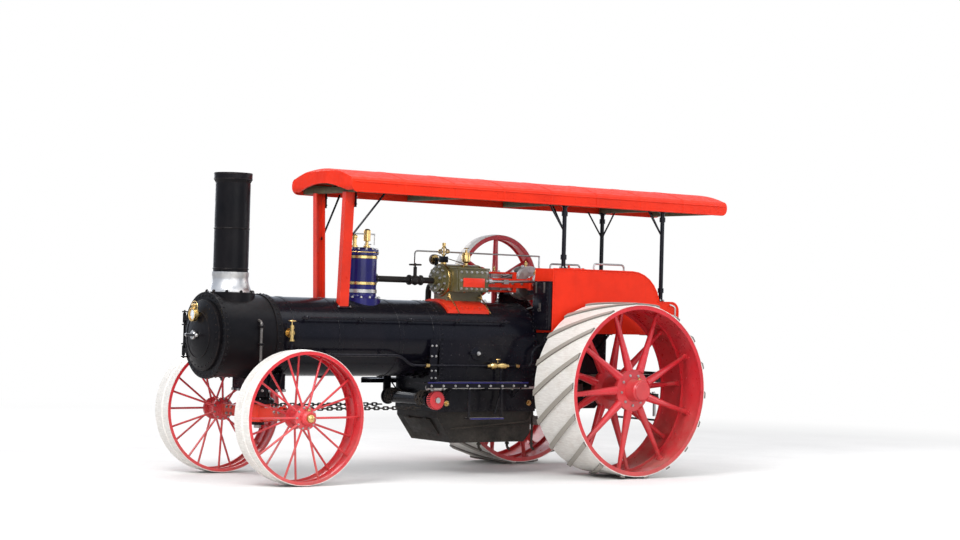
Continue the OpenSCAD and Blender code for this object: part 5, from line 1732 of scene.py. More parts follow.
@dataclass
class RearWheelDress(WheelDress):
    """A rear wheel, whose lugs are riveted through the rim.

    Attributes:
        finish: the wheel's own finish.
        lugs: the number of lugs.
        slant: their slant across the tread, in degrees.
    """

    finish: Optional[Finish] = None
    lugs: int = 18
    slant: float = -33.0
    foot_turn: float = -4.0

    def build(self) -> None:
        """Builds the wheel, its trim, its spokes' roots and the lugs' rivets inside the rim."""
        self.build_wheel()
        super().build()
        self.build_roots()
        s, places = self.side.value, []
        for i in range(self.lugs):
            turn = FULL_TURN * i / self.lugs
            for t in (-0.26, -0.155, -0.05, 0.05, 0.155, 0.26):
                x0 = -t * math.tan(math.radians(self.slant))
                z0 = -math.sqrt(self.rim_in**2 - x0 * x0)
                x = x0 * math.cos(turn) + z0 * math.sin(turn)
                z = -x0 * math.sin(turn) + z0 * math.cos(turn)
                places.append(self.spot((self.x + x, s * (self.y + t), self.z + z), (-x, 0, -z)))
        self.rivets(f"{self.body}_lug_rivets", places, 0.011, self.paints.wheel_red)

    def build_wheel(self) -> None:
        """The CAD wheel turned over in height, so that its lugs' outer ends stand foremost."""
        node = bpy.data.objects[self.body]
        wheel = bpy.data.objects.new(f"{self.body}_handed", node.data.copy())
        bpy.context.scene.collection.objects.link(wheel)
        for vertex in wheel.data.vertices:
            vertex.co.z = 2 * self.z - vertex.co.z
        self.pick(wheel)
        if wheel.data.has_custom_normals:
            bpy.ops.mesh.customdata_custom_splitnormals_clear()
        self.open_mesh()
        self.close_mesh()
        self.smooth()
        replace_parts(self.fit(wheel, self.finish or self.paints.wheel_red), self.body)

    def build_roots(self) -> None:
        """The tapered roots of the spokes, thick where they leave the hub."""
        roots = []
        for row, angle in self.spoke_angles():
            land = angle + math.radians(self.foot_turn)
            start, end = (Vector(self.at(self.x + reach * math.cos(turn),
                self.side.value * (self.y + row * out), self.z + reach * math.sin(turn)))
                for reach, turn, out in ((0.175, angle, 0.17), (0.835, land, self.foot_y)))
            along = end - start
            profile = [(0.0, 0.022), (0.044, 0.022), (0.042, 0.06), (0.031, along.length * 0.42),
                (0.0225, along.length * 0.8), (0.0, along.length * 0.8)]
            roots.append(LOOSE.turned(profile, tuple(start), along.normalized(), 12))
        self.join(f"{self.body}_spoke_roots", roots, self.paints.wheel_red)


@dataclass
class FrontWheelDress(WheelDress):
    """A front wheel, whose hub has a turned cap."""

    x: float = 3.58
    y: float = 0.755
    z: float = 0.61
    rim_in: float = 0.59
    width: float = 0.25
    spokes: int = 10
    foot_y: float = 0.045
    foot_turn: float = 0.0
    flange: tuple[float, float] = (0.094, 0.1)
    hub_end: tuple[float, float] = (0.052, 0.177)
    rib: float = 0.022

    def build(self) -> None:
        """Builds the wheel's trim and the hub's cap."""
        super().build()
        s = self.side.value
        cap = [(0.0, 0.034), (0.016, 0.033), (0.03, 0.026), (0.038, 0.014), (0.04, 0.0)]
        self.join(f"{self.body}_hub_cap", [self.turned(cap, (self.x, s * (self.y + 0.177), self.z), (0, s, 0),
            32), self.rod((self.x, s * (self.y + 0.2), self.z), (self.x, s * (self.y + 0.222), self.z), 0.012,
            6)], self.paints.brass)


# Canopy


def roof_line(half: float, low: float, high: float, rise: float,
        corner: float = 0.06) -> list[tuple[float, float]]:
    """The canopy's cross-section as distances from the middle and heights.

    Args:
        half: half its width.
        low: the height of its lower edge.
        high: the height of its eaves.
        rise: how far its middle stands above them.
        corner: the radius of its corners.

    Returns:
        The points.
    """
    bend = [(half - corner * (1 - math.cos(a)), high - corner + corner * math.sin(a))
        for a in (0, 0.5236, 1.0472, 1.5708)]
    arch = [(t * (half - corner), high + rise * (1 - t * t)) for t in (-1 + i / 6 for i in range(1, 12))]
    return [(-half, low), *[(-y, z) for y, z in bend], *arch, *reversed(bend), (half, low)]


@dataclass
class CanopyDress(SubAssembly):
    """The canopy's seams, beads, ceiling, beams and brackets."""

    front: float = 2.96
    back: float = -1.76
    half: float = 0.54
    low: float = 2.68
    high: float = 2.83
    rise: float = 0.085
    sheet: float = 0.022
    beams: tuple[float, ...] = (-1.64, -0.9, 0.4, 1.6, 2.82)

    def build(self) -> None:
        """Builds the canopy's trim."""
        red = self.paints.canopy_red
        line = roof_line(self.half + 0.0005, self.low + 0.02, self.high + 0.0005, self.rise)
        seams = [self.strip([(self.back + 0.6 + i * 0.585, y, z) for y, z in line], (0.022, 0, 0), 0.004)
            for i in range(7)]
        self.join("roof_seams", seams, red)
        beads = []
        for s in BOTH:
            y = s * (self.half + 0.001)
            beads += [self.pipe([(self.back + 0.07, y, self.low + 0.008),
                (self.front - 0.07, y, self.low + 0.008)], 0.009),
                self.pipe([(self.back + 0.03, y, self.high - 0.052), (self.front - 0.03, y, self.high - 0.052)],
                0.006)]
        for x in (self.back + 0.004, self.front - 0.004):
            arch = [(x, t * 0.47, self.low + 0.095 * (1 - t * t) + 0.003)
                for t in (-0.66 + i * 0.11 for i in range(13))]
            beads.append(self.pipe(arch, 0.007, 0))
        self.join("eave_beads", beads, red)
        screws = []
        for s in BOTH:
            out = (0, s, 0)
            for h in (self.low + 0.04, self.high - 0.075):
                screws += self.line((self.back + 0.12, s * self.half, h), (self.front - 0.12, s * self.half, h),
                    24, out)
        for x, out in ((self.back, (-1, 0, 0)), (self.front, (1, 0, 0))):
            screws += [self.spot((x, t * 0.4, self.high + self.rise * (1 - t * t) - 0.03), out)
                for t in (-0.9 + 0.225 * i for i in range(9))]
        self.rivets("fascia_screws", screws, 0.006, red)
        self.build_underside()

    def build_underside(self) -> None:
        """The boarded ceiling, the cross-beams and the long rails."""
        inner = roof_line(self.half - self.sheet - 0.004, self.low, self.high - self.sheet - 0.004,
            self.rise)[3:-3]
        run = self.front - self.back - 0.05
        boards = self.strip([(self.back + 0.025, y, z) for y, z in inner], (run, 0, 0), 0.004)
        self.join("ceiling", [boards], self.paints.ceiling)
        timbers = [self.bar((x - 0.028, -0.513, self.low + 0.0075), (x + 0.028, 0.513, self.low + 0.063))
            for x in self.beams]
        timbers += [self.bar((self.back + 0.03, s * 0.495 - 0.018, self.low + 0.064),
            (self.front - 0.03, s * 0.495 + 0.018, self.low + 0.1)) for s in BOTH]
        for y in (-0.24, 0.0, 0.24):
            top = self.high - self.sheet - 0.008 + self.rise * (1 - (y / 0.45) ** 2)
            timbers.append(self.bar((self.back + 0.03, y - 0.016, top - 0.03),
                (self.front - 0.03, y + 0.016, top)))
        timbers += [self.bar((x - 0.016, -0.014, self.low + 0.06), (x + 0.016, 0.014, self.high + 0.03))
            for x in self.beams]
        self.join("canopy_timbers", timbers, self.paints.ceiling)


@dataclass
class PostDress(SubAssembly):
    """Feet, caps, braces and bolts of the canopy's posts."""

    foot_y: float = 0.208
    foot_r: float = 0.3725
    top: float = 2.68

    def build(self) -> None:
        """Builds the posts' fittings."""
        nuts, plates, braces, top = [], [], [], self.top
        lean = 0.2 + 0.054 * (top - 1.5)
        for s in BOTH:
            y = s * self.foot_y
            out = (0, y, math.sqrt(0.374**2 - y * y))
            level = math.cos(math.asin(y / self.foot_r))
            across = Vector((0, level * 0.11, -y / self.foot_r * 0.11))
            line = [Vector(self.at(x, (y / 0.372) * self.foot_r, self.crown(y, self.foot_r)))
                for x in (2.745, 2.895)]
            plates.append(LOOSE.strip([tuple(p - across / 2) for p in line], tuple(across), 0.01))
            nuts += [self.spot((x, row, self.crown(row, 0.377)), out) for x in (2.756, 2.884)
                for row in (y - 0.042 * level, y + 0.042 * level)]
            plates.append(self.bar((2.762, s * lean - 0.055, top - 0.13),
                (2.77, s * lean + 0.055, top + 0.012)))
            nuts += [self.spot((2.762, s * lean + d, h), (-1, 0, 0)) for d in (-0.035, 0.035)
                for h in (top - 0.1, top - 0.03)]
            braces.append(self.pipe([(2.79, s * 0.245, 2.25), (2.5, s * 0.4, 2.695)], 0.01))
        cup = [(0.0, 0.0), (0.04, 0.0), (0.04, -0.01), (0.026, -0.018), (0.022, -0.03), (0.0, -0.03)]
        for x, y, foot in ((0.4, 0.488, 2.045), (-0.9, 0.488, 1.745), (-0.9, -0.488, 1.745)):
            nuts += [self.spot((x + dx * 0.022, y + dy * 0.022, foot + 0.0145), (0, 0, 1)) for dx in (-1, 1)
                for dy in (-1, 1)]
            plates += [self.hoop((x, y, h), Axis.UP, 0.0215, 0.031, 0.05, 28) for h in (foot + 0.12, 2.6)]
            braces += [self.pipe([(x, y, 2.42), end], 0.009)
                for end in ((x + 0.2, y, 2.69), (x, y - math.copysign(0.2, y), 2.69))]
            plates.append(self.turned(cup, (x, y, 2.687), (0, 0, 1)))
        self.join("post_plates", plates, self.paints.black)
        self.join("canopy_braces", braces, self.paints.black)
        self.nuts("post_nuts", nuts, 0.018, self.paints.steel)


# Tanks


def tank_outline(front: float) -> list[tuple[float, float]]:
    """A tank's outline from the side, as distances ahead of the rear axle and heights.

    Args:
        front: its front end.

    Returns:
        The corners.
    """
    top = [(-0.42 - 0.37 * math.sin(a), 2.045 - 0.37 * (1 - math.cos(a)))
        for a in (math.radians(12.5 * i) for i in range(7))]
    back = [(-1.05 + 0.09 * (1 - math.sin(a)), 1.745 - 0.09 * (1 - math.cos(a)))
        for a in (math.radians(15 * i) for i in range(7))]
    return [(front, 1.41), (front, 2.045), *top, (-0.783, 1.745), *back, (-1.05, 1.41)]


def along(line: Profile, pitch: float, inset: float) -> list[tuple[float, float]]:
    """Points spaced along a closed outline, moved inwards.

    Args:
        line: the outline's corners.
        pitch: the distance between points.
        inset: how far they are moved inwards.

    Returns:
        The points.
    """
    area = sum(a[0] * b[1] - b[0] * a[1] for a, b in zip(line, [*line[1:], line[0]]))
    sign = 1 if area > 0 else -1
    points = []
    for a, b in zip(line, [*line[1:], line[0]]):
        run = Vector(b) - Vector(a)
        if run.length < 0.02:
            continue
        count = max(1, round(run.length / pitch))
        inward = Vector((-run.y, run.x)).normalized() * sign * inset
        points += [tuple(Vector(a) + run * ((i + 0.5) / count) + inward) for i in range(count)]
    return points


@dataclass
class TankDress(SubAssembly):
    """Beads, rivets, gauge glass, lid ring, rails and the coal."""

    outer_y: float = 0.6
    inner_y: float = 0.312
    lid: tuple[float, float, float] = (0.24, 0.456, 2.0453)

    def build(self) -> None:
        """Builds the tanks' trim."""
        red = self.paints.canopy_red
        beads, rivets = [], []
        for s, front in ((1, 0.61), (-1, -0.05)):
            outline = tank_outline(front)
            for y in (self.outer_y, self.inner_y):
                points = [(x, s * y, z) for x, z in outline]
                beads.append(self.pipe(points + [points[0]], 0.0065, 0))
                out = (0, s if y > 0.5 else -s, 0)
                rivets += [self.spot((x, s * y, z), out) for x, z in along(outline, 0.055, 0.024)]
            for y in (s * 0.335, s * 0.577):
                rivets += [*self.line((-1.05, y, 1.45), (-1.05, y, 1.63), 5, (-1, 0, 0)),
                    *self.line((front, y, 1.45), (front, y, 2.0), 11, (1, 0, 0))]
        self.join("tank_beads", beads, red)
        self.rivets("tank_rivets", rivets, 0.0075, red)
        self.build_brackets()
        self.build_fittings()
        # The black box on the tank's front end is painted shade.
        self.build_painted_shade_box()
        self.build_coal()

    def build_brackets(self) -> None:
        """The brackets under the tanks and the rails on them."""
        brackets = []
        for s in BOTH:
            for x in ((0.45, -0.15, -0.8) if s > 0 else (-0.15, -0.5, -0.8)):
                brackets += [self.bar((x - 0.03, s * 0.315, 1.396), (x + 0.03, s * 0.59, 1.4095)),
                    self.pipe([(x, s * 0.33, 1.13), (x, s * 0.33, 1.2), (x, s * 0.56, 1.395)], 0.013, 0.04)]
        self.join("tank_brackets", brackets, self.paints.black)
        rails = []
        for s in BOTH:
            y = s * 0.36
            top = [(-0.5, y, 2.03), (-0.5, y, 2.115), (-0.1, y, 2.115), (-0.1, y, 2.046)]
            side = [(-0.97, s * 0.602, 1.5), (-0.97, s * 0.64, 1.5), (-0.97, s * 0.64, 1.7),
                (-0.93, s * 0.6, 1.72)]
            rails += [self.pipe(top, 0.01, 0.04), self.pipe(side, 0.009, 0.03)]
        self.join("grab_rails", rails, self.paints.steel)

    def build_fittings(self) -> None:
        """The filler's ring, the lid's rivets, the gauge glass and the drain cock."""
        x, y, z = self.lid
        self.join("filler_ring", [self.hoop((x, y, z + 0.004), Axis.UP, 0.0875, 0.1, 0.01, 56)],
            self.paints.canopy_red)
        self.nuts("filler_nuts", self.circle((x, y, z + 0.001), Axis.UP, 0.118, 10, False, 0.31), 0.012,
            self.paints.steel)
        self.join("lid_trim", [self.hoop((x, y, z + 0.015), Axis.UP, 0.066, 0.08, 0.005, 56),
            self.rod((x + 0.055, y, z + 0.03), (x + 0.075, y, z + 0.036), 0.006, 10)], self.paints.steel,
            "tank_lid")
        self.join("tank_cocks", [*[self.rod((-0.1, 0.298, h), (-0.1, 0.314, h), 0.016, 6)
            for h in (1.52, 1.92)], *[self.rod((-0.1, 0.29, h - 0.02), (-0.1, 0.29, h + 0.02), 0.012, 12)
            for h in (1.52, 1.92)], self.pipe([(0.2, 0.456, 1.41), (0.2, 0.456, 1.34), (0.26, 0.456, 1.3)],
            0.01, 0.02), *self.hand_wheel((0.2, 0.49, 1.37), (0, 1, 0), 0.022)], self.paints.brass)
        self.join("tank_gauge_glass", [self.rod((-0.1, 0.29, 1.52), (-0.1, 0.29, 1.92), 0.006, 12)],
            self.paints.glass)

    def build_painted_shade_box(self) -> None:
        """A black box on the water tank's front end, with a lid, straps, a hasp and rivets: painted shade for
        that face.
        """
        # The black box stands where the tank's front face is only in shade: painted shade.
        self.join("tool_locker", [self.bar((0.6105, 0.336, 1.43), (0.66, 0.594, 1.9), 0.004),
            self.bar((0.6105, 0.332, 1.9), (0.668, 0.598, 1.918), 0.004),
            self.bar((0.658, 0.352, 1.45), (0.664, 0.578, 1.86), 0.002)], self.paints.black)
        self.join("locker_straps", [*[self.bar((0.663, y - 0.012, 1.8), (0.671, y + 0.012, 1.905), 0.002)
            for y in (0.4, 0.53)], self.bar((0.663, 0.452, 1.62), (0.672, 0.478, 1.7), 0.002),
            self.ring((0.676, 0.465, 1.63), (0, 1, 0), 0.014, 0.003, 18)], self.paints.gear_iron)
        spots = self.line((0.664, 0.362, 1.46), (0.664, 0.568, 1.46), 6, (1, 0, 0))
        for y in (0.362, 0.568):
            spots += self.line((0.664, y, 1.5), (0.664, y, 1.84), 9, (1, 0, 0))
        self.rivets("locker_rivets", spots, 0.006, self.paints.black)

    def build_coal(self) -> None:
        """The coal in the right-hand bunker, a heap of broken lumps."""
        lumps = []
        for shape in range(5):
            self.clear()
            bpy.ops.mesh.primitive_ico_sphere_add(subdivisions=2, radius=0.04)
            lump = self.settle(0)
            for corner in lump.data.vertices:
                n = corner.co.normalized()
                corner.co *= 1.0 + 0.26 * math.sin(n.x * 5.1 + shape * 2.3) * math.cos(n.y * 4.3
                    + shape) + 0.16 * math.sin(n.z * 7.7 + shape * 1.7)
            lumps.append(lump)
        pieces = []
        for i in range(150):
            a, b, c = ((i * k) % 1.0 for k in (0.618, 0.7549, 0.5698))
            x, y = -0.48 + a * 0.365, -0.372 - b * 0.17
            rise = 0.1 * math.sin(math.pi * min(1.0, max(0.0, a))) * math.sin(math.pi * b)
            place = Matrix.Translation(self.at(x, y, 1.9 + rise + (c - 0.5) * 0.03)) @ Matrix.Rotation(6.3 * c,
                4, (a, b, c + 0.1)) @ Matrix.Scale(0.6 + 0.6 * b, 4)
            piece = bpy.data.objects.new("lump", lumps[i % 5].data.copy())
            piece.data.transform(place)
            bpy.context.scene.collection.objects.link(piece)
            pieces.append(piece)
        bed = self.bar((-0.535, -0.59, 1.8), (-0.06, -0.322, 1.885), 0.01)
        for lump in lumps:
            bpy.data.objects.remove(lump)
        self.join("coal_heap", pieces + [bed], self.paints.coal)


# Platform


@dataclass
class PlatformDress(SubAssembly):
    """Edge irons, the backhead's gauges and valves and the steering wheel's knob."""

    floor_z: float = 0.985
    back: float = -1.03
    half: float = 0.58
    backhead_x: float = 0.6197

    def build(self) -> None:
        """Builds the platform's fittings."""
        z, back, half = self.floor_z, self.back, self.half
        irons = [self.bar((back - 0.008, -half, z - 0.045), (back, half, z + 0.03))]
        for s in BOTH:
            irons += [self.bar((back, s * half, z - 0.045), (-0.36, s * (half + 0.008), z + 0.012)),
                self.bar((back + 0.05, s * 0.5 - 0.02, z - 0.062),
                (0.55 if s > 0 else -0.36, s * 0.5 + 0.02, z - 0.04))]
        irons.append(self.bar((back + 0.05, -0.55, z - 0.075), (back + 0.09, 0.55, z - 0.04)))
        self.join("platform_irons", irons, self.paints.black)
        self.nuts("platform_nuts", self.line((back - 0.008, -half + 0.04, z - 0.01),
            (back - 0.008, half - 0.04, z - 0.01), 9, (-1, 0, 0)), 0.016, self.paints.steel)
        screws = [place for x in (back + 0.04, -0.62, -0.36)
            for place in self.line((x, -half + 0.04, z), (x, half - 0.04, z), 14, (0, 0, 1))]
        self.rivets("floor_screws", screws, 0.006, self.paints.iron)
        self.build_step()
        self.build_backhead()
        self.build_steering_wheel()

    def build_step(self) -> None:
        """The rear step and the grab handles."""
        step = [self.pipe([(-1.0, s * 0.46, 0.95), (-1.06, s * 0.46, 0.9), (-1.09, s * 0.46, 0.5)], 0.012, 0.04)
            for s in BOTH]
        step += [self.bar((-1.17, -0.45, 0.498), (-1.06, -0.3, 0.51)),
            self.bar((-1.17, 0.3, 0.498), (-1.06, 0.47, 0.51)),
            self.rod((-1.09, -0.47, 0.505), (-1.09, 0.47, 0.505), 0.011)]
        self.join("rear_step", step, self.paints.black)

    def build_backhead(self) -> None:
        """Pressure gauge, water glass, try cocks, regulator and the fire door's latch."""
        x, glass_y, gauge_y, gauge_z = self.backhead_x, 0.17, -0.17, 1.52
        face = x - 0.04
        brass = [self.hoop((face - 0.006, gauge_y, gauge_z), Axis.FORWARD, 0.066, 0.08, 0.022, 48),
            *[self.rod((x - 0.03, glass_y, h), (x - 0.065, glass_y, h), 0.017, 6) for h in (1.412, 1.488)],
            *[piece for h in (1.488, 1.412)
            for piece in self.hand_wheel((x - 0.085, glass_y, h), (-1, 0, 0), 0.02)]]
        for y, h in ((0.255, 1.38), (0.267, 1.44), (0.279, 1.5)):
            brass += [self.rod((x, y, h), (x - 0.07, y, h), 0.009, 12),
                self.rod((x - 0.045, y, h), (x - 0.045, y, h + 0.035), 0.005, 8),
                self.ball((x - 0.045, y, h + 0.038), 0.009)]
        syphon = [(x, gauge_y, 1.6), (x - 0.03, gauge_y, 1.6), (x - 0.03, gauge_y, 1.59)]
        self.join("backhead_brass", [*brass, self.pipe(syphon, 0.007, 0.01)], self.paints.brass)
        self.join("gauge_face", [self.turned([(0.0, 0.001), (0.06, 0.001), (0.066, 0.0)],
            (face - 0.006, gauge_y, gauge_z), (-1, 0, 0), 40)], self.paints.dial)
        arms = [Vector((0, math.sin(math.radians(a)), math.cos(math.radians(a)))) for a in range(-130, 131, 26)]
        middle = Vector((face - 0.0075, gauge_y, gauge_z))
        ticks = [self.rod(tuple(middle + arm * 0.046), tuple(middle + arm * 0.058), 0.0016, 6) for arm in arms]
        lean = math.radians(40)
        ticks += [self.rod((face - 0.01, gauge_y, gauge_z), (face - 0.01, gauge_y + 0.048 * math.sin(lean),
            gauge_z + 0.048 * math.cos(lean)), 0.0018, 6), self.rod((face - 0.006, gauge_y, gauge_z),
            (face - 0.012, gauge_y, gauge_z), 0.006, 10)]
        self.join("gauge_ticks", ticks, self.paints.stove)
        self.join("water_glass", [self.rod((x - 0.05, glass_y, 1.415), (x - 0.05, glass_y, 1.485), 0.008, 14)],
            self.paints.glass)
        self.join("regulator_lever", [self.rod((x - 0.01, 0.0, 1.6), (x - 0.06, 0.0, 1.6), 0.026, 20),
            self.pipe([(x - 0.045, -0.02, 1.6), (x - 0.06, 0.14, 1.64), (x - 0.07, 0.24, 1.66)], 0.009, 0.05),
            self.rod((x - 0.071, 0.215, 1.655), (x - 0.071, 0.275, 1.669), 0.015, 16),
            self.pipe([(x - 0.03, -0.24, 1.4), (x - 0.03, -0.24, 1.56), (0.3, -0.27, 1.62), (0.25, -0.27, 1.4)],
            0.007, 0.05)], self.paints.steel)
        spots = self.circle((x, 0, 1.32), Axis.FORWARD, 0.335, 26, False, -0.5, math.pi + 1.0, flip=True)
        for y in (-0.335, 0.335):
            spots += self.line((x, y, 0.72), (x, y, 1.2), 9, (-1, 0, 0))
        spots += self.circle((x, 0, 1.21), Axis.FORWARD, 0.185, 18, False, 0.1, FULL_TURN, flip=True)
        self.rivets("backhead_rivets", spots, 0.009, self.paints.black)
        self.join("fire_door_trim", [self.hoop((x - 0.0215, 0, 1.21), Axis.FORWARD, 0.135, 0.155, 0.006, 56),
            *[self.rod((x - 0.034, y, 1.21 + h), (x - 0.041, y, 1.21 + h), 0.01, 12) for y in (0.05, 0.11)
            for h in (-0.07, 0.07)], self.ball((x - 0.094, -0.12, 1.21), 0.014)], self.paints.iron, "fire_door")
        self.join("fire_door_catch", [self.bar((x - 0.03, -0.205, 1.2), (x, -0.17, 1.222)),
            self.bar((x - 0.03, -0.19, 1.2), (x - 0.022, -0.15, 1.222))], self.paints.iron)

    def build_steering_wheel(self) -> None:
        """The steering wheel's hub nut, rim knob and column bracket."""
        x, y, top = 0.15, 0.12, 1.88
        self.join("steering_wheel_nut", [self.rod((x, y, top + 0.02), (x, y, top + 0.042), 0.02, 6),
            self.rod((x + 0.15, y, top), (x + 0.15, y, top + 0.05), 0.007, 10)], self.paints.steel)
        knob = [(0.0, 0.0), (0.01, 0.0), (0.018, 0.02), (0.02, 0.05), (0.014, 0.07), (0.0, 0.074)]
        self.join("steering_wheel_knob", [self.turned(knob, (x + 0.15, y, top + 0.03), (0, 0, 1), 18)],
            self.paints.leather)
        self.join("column_bracket", [self.hoop((x, y, 1.4), Axis.UP, 0.0155, 0.032, 0.06, 28),
            self.bar((x - 0.018, y + 0.025, 1.385), (x + 0.018, 0.298, 1.415)),
            self.hoop((x, y, 1.012), Axis.UP, 0.024, 0.055, 0.01, 32)], self.paints.black)


# Front axle and steering


@dataclass
class FrontAxleDress(SubAssembly):
    """Bolts, plates, king pin nut and collars on the front axle."""

    body: str = "front_axle"
    x: float = 3.58
    z: float = 0.61

    def build(self) -> None:
        """Builds the axle's fittings."""
        x, z = self.x, self.z
        plates, nuts = [], []
        for s in BOTH:
            plates += [self.bar((x - 0.058, s * 0.545, z - 0.053), (x + 0.058, s * 0.58, z + 0.053)),
                self.bar((x - 0.06, s * 0.2, z + 0.05), (x + 0.06, s * 0.32, z + 0.058)),
                self.bar((x - 0.06, s * 0.2, z - 0.058), (x + 0.06, s * 0.32, z - 0.05))]
            nuts += [*[self.spot((x + d, s * y, z + 0.058), (0, 0, 1)) for d in (-0.04, 0.04)
                for y in (0.22, 0.3)], *[self.spot((x + 0.055, s * y, z + h), (1, 0, 0)) for h in (-0.03, 0.03)
                for y in (0.4, 0.48)]]
            plates += [self.hoop((x, s * 0.5885, z), Axis.LEFT, 0.036, 0.052, 0.01, 36),
                self.rod((x - 0.085, s * 0.335, z + 0.024 + 0.054), (x - 0.085, s * 0.335, z + 0.024 + 0.066),
                0.014, 6)]
        plates += [self.hoop((x, 0, z + 0.08), Axis.UP, 0.112, 0.124, 0.012, 56),
            self.hoop((x, 0, z - 0.072), Axis.UP, 0.112, 0.124, 0.012, 56)]
        self.join("front_axle_plates", plates, self.paints.red)
        self.nuts("front_axle_nuts", nuts, 0.022, self.paints.steel)
        self.join("king_pin_nut", [self.rod((x, 0, z - 0.11), (x, 0, z - 0.14), 0.034, 6)], self.paints.steel,
            "machine")


@dataclass
class PedestalDress(SubAssembly):
    """Ribs and bolts of the pedestal under the smokebox."""

    x: float = 3.58

    def build(self) -> None:
        """Builds the pedestal's ribs and bolts."""
        ribs, nuts = [], []
        for s in BOTH:
            for d in (-0.11, 0.0, 0.11):
                foot = [(self.x + d - 0.007, s * y, z) for y, z in ((0.188, 0.84), (0.188, 0.99),
                    (0.255, 1.02))]
                ribs.append(self.plate(foot, (0.014, 0, 0), 0.002))
            ribs += [self.bar((self.x - 0.172, s * 0.185, 0.812), (self.x + 0.172, s * 0.2, 0.835)),
                self.bar((self.x + s * 0.165, -0.192, 0.812), (self.x + s * 0.18, 0.192, 0.835))]
            nuts += [*self.line((self.x - 0.15, s * 0.2, 0.823), (self.x + 0.15, s * 0.2, 0.823), 5, (0, s, 0)),
                *self.line((self.x + s * 0.18, -0.15, 0.823), (self.x + s * 0.18, 0.15, 0.823), 4, (s, 0, 0))]
        self.join("pedestal_ribs", ribs, self.paints.black)
        self.nuts("pedestal_nuts", nuts, 0.02, self.paints.steel)
        self.nuts("turntable_nuts", self.circle((self.x, 0, 0.733), Axis.UP, 0.13, 8, False, 0.4), 0.02,
            self.paints.steel)


@dataclass
class SteeringDress(SubAssembly):
    """The chain wound on the roller, the worm and its wheel's teeth, shaft joints and bolts."""

    roller_x: float = 1.89
    roller_z: float = 0.74
    roller_r: float = 0.058
    eye_y: float = 0.335
    worm_y: float = 0.45
    worm_z: float = 0.86
    wheel_r: float = 0.085

    def build(self) -> None:
        """Builds the steering gear's fittings."""
        self.build_chain()
        self.build_worm()
        self.build_shafts()

    def build_chain(self) -> None:
        """Each chain's end, wound round the roller, but for the underside, where the moving chain passes."""
        link = LOOSE.ring((0, 0, 0), (0, 1, 0), 0.0155, 0.0062, 14)
        self.pick(link)
        self.open_mesh()
        bpy.ops.transform.resize(value=(1.95, 1, 1))
        bpy.ops.object.mode_set(mode="OBJECT")
        winding = self.roller_r + 0.012
        places = []
        for s in BOTH:
            start = self.places.rear_x + self.roller_x
            for i in range(40):
                a = i * 0.026 * 1.9 / winding
                if math.cos(a) > 0.4:
                    continue
                y = s * (self.eye_y - 0.002 - 0.03 * a / FULL_TURN)
                point = (start - winding * math.sin(a), y, self.roller_z - winding * math.cos(a))
                lie = Matrix.Rotation(a, 4, "Y") @ Matrix.Rotation(math.pi / 2 * (i % 2) + 0.5, 4, "X")
                places.append(Matrix.Translation(point) @ lie)
        self.fit(self.copies("chain_windings", link, places), self.paints.iron)

    def build_worm(self) -> None:
        """Teeth round the worm wheel, the worm's thread and the bearing bolts."""
        x, y, z = self.roller_x, self.worm_y, self.roller_z
        teeth = []
        tooth = LOOSE.bar((-0.0045, -0.024, -0.006), (0.0045, 0.024, 0.01), 0.002)
        places = [radial_spot(self.at(x, y, z), FULL_TURN * i / 30, self.wheel_r - 0.003,
            0.0) @ Matrix.Rotation(math.pi, 4, "Y") for i in range(30)]
        teeth.append(self.copies("teeth", tooth, places))
        for face in (0.0255, -0.0255):
            teeth += [self.hoop((x, y + face, z), Axis.LEFT, self.wheel_r - 0.014, self.wheel_r - 0.002, 0.004,
                56), self.hoop((x, y + face, z), Axis.LEFT, 0.021, 0.036, 0.01, 32)]
        teeth += [self.hoop((x, y + 0.0255, z), Axis.LEFT, 0.05, 0.056, 0.004, 48),
            self.turned([(0.0, 0.0), (0.0, 0.002), (0.083, 0.002), (0.083, 0.0)], (x, y + 0.0245, z), (0, 1, 0),
            48)]
        self.join("worm_wheel_teeth", teeth, self.paints.wheel_red)
        thread = []
        for i in range(61):
            a = FULL_TURN * 4 * i / 60
            thread.append((x - 0.042 + 0.084 * i / 60, y + 0.0335 * math.cos(a),
                self.worm_z + 0.0335 * math.sin(a)))
        self.join("worm_thread", [self.pipe(thread, 0.0045, 0)], self.paints.steel)
        self.join("roller_end_nuts", [self.rod((x, y, z), (x, y + end, z), 0.03, 6)
            for y, end in ((0.48, 0.018), (-0.43, -0.018))], self.paints.steel)
        nuts = []
        for s in BOTH:
            for h in (0.95, 1.02, 1.16, 1.26):
                nuts += [self.spot((x + d, s * 0.404, h), (0, s, 0)) for d in (-0.024, 0.024)]
            nuts += [self.spot((x + 0.032 * ahead, s * 0.404, z + 0.032 * up), (0, s, 0))
                for ahead, up in ((1, 0), (-1, 0), (0, -1))]
        self.nuts("roller_bracket_nuts", nuts, 0.016, self.paints.steel)

    def build_shafts(self) -> None:
        """Collars, joints and bearings of the steering shaft."""
        y, z = self.worm_y, self.worm_z
        shaft = [self.hoop((x, y, z), Axis.FORWARD, 0.0135, 0.026, 0.022, 28) for x in (0.24, 0.98, 1.8, 1.985)]
        shaft += [self.bar((x - 0.022, y - 0.02, z - 0.01), (x + 0.022, y + 0.02, z + 0.01), 0.004)
            for x in (1.62, 1.68)]
        shaft.append(self.rod((1.65, y - 0.026, z), (1.65, y + 0.026, z), 0.008))
        self.join("steering_shaft_collars", shaft, self.paints.steel)
        self.join("steering_shaft_bearings", [*[self.bar((x - 0.018, 0.371, z - 0.03),
            (x + 0.018, y + 0.026, z - 0.012)) for x in (1.3, 1.74)],
            *[self.hoop((x, y, z), Axis.FORWARD, 0.0135, 0.03, 0.03, 28) for x in (1.3, 1.74)]],
            self.paints.black)


# Underside


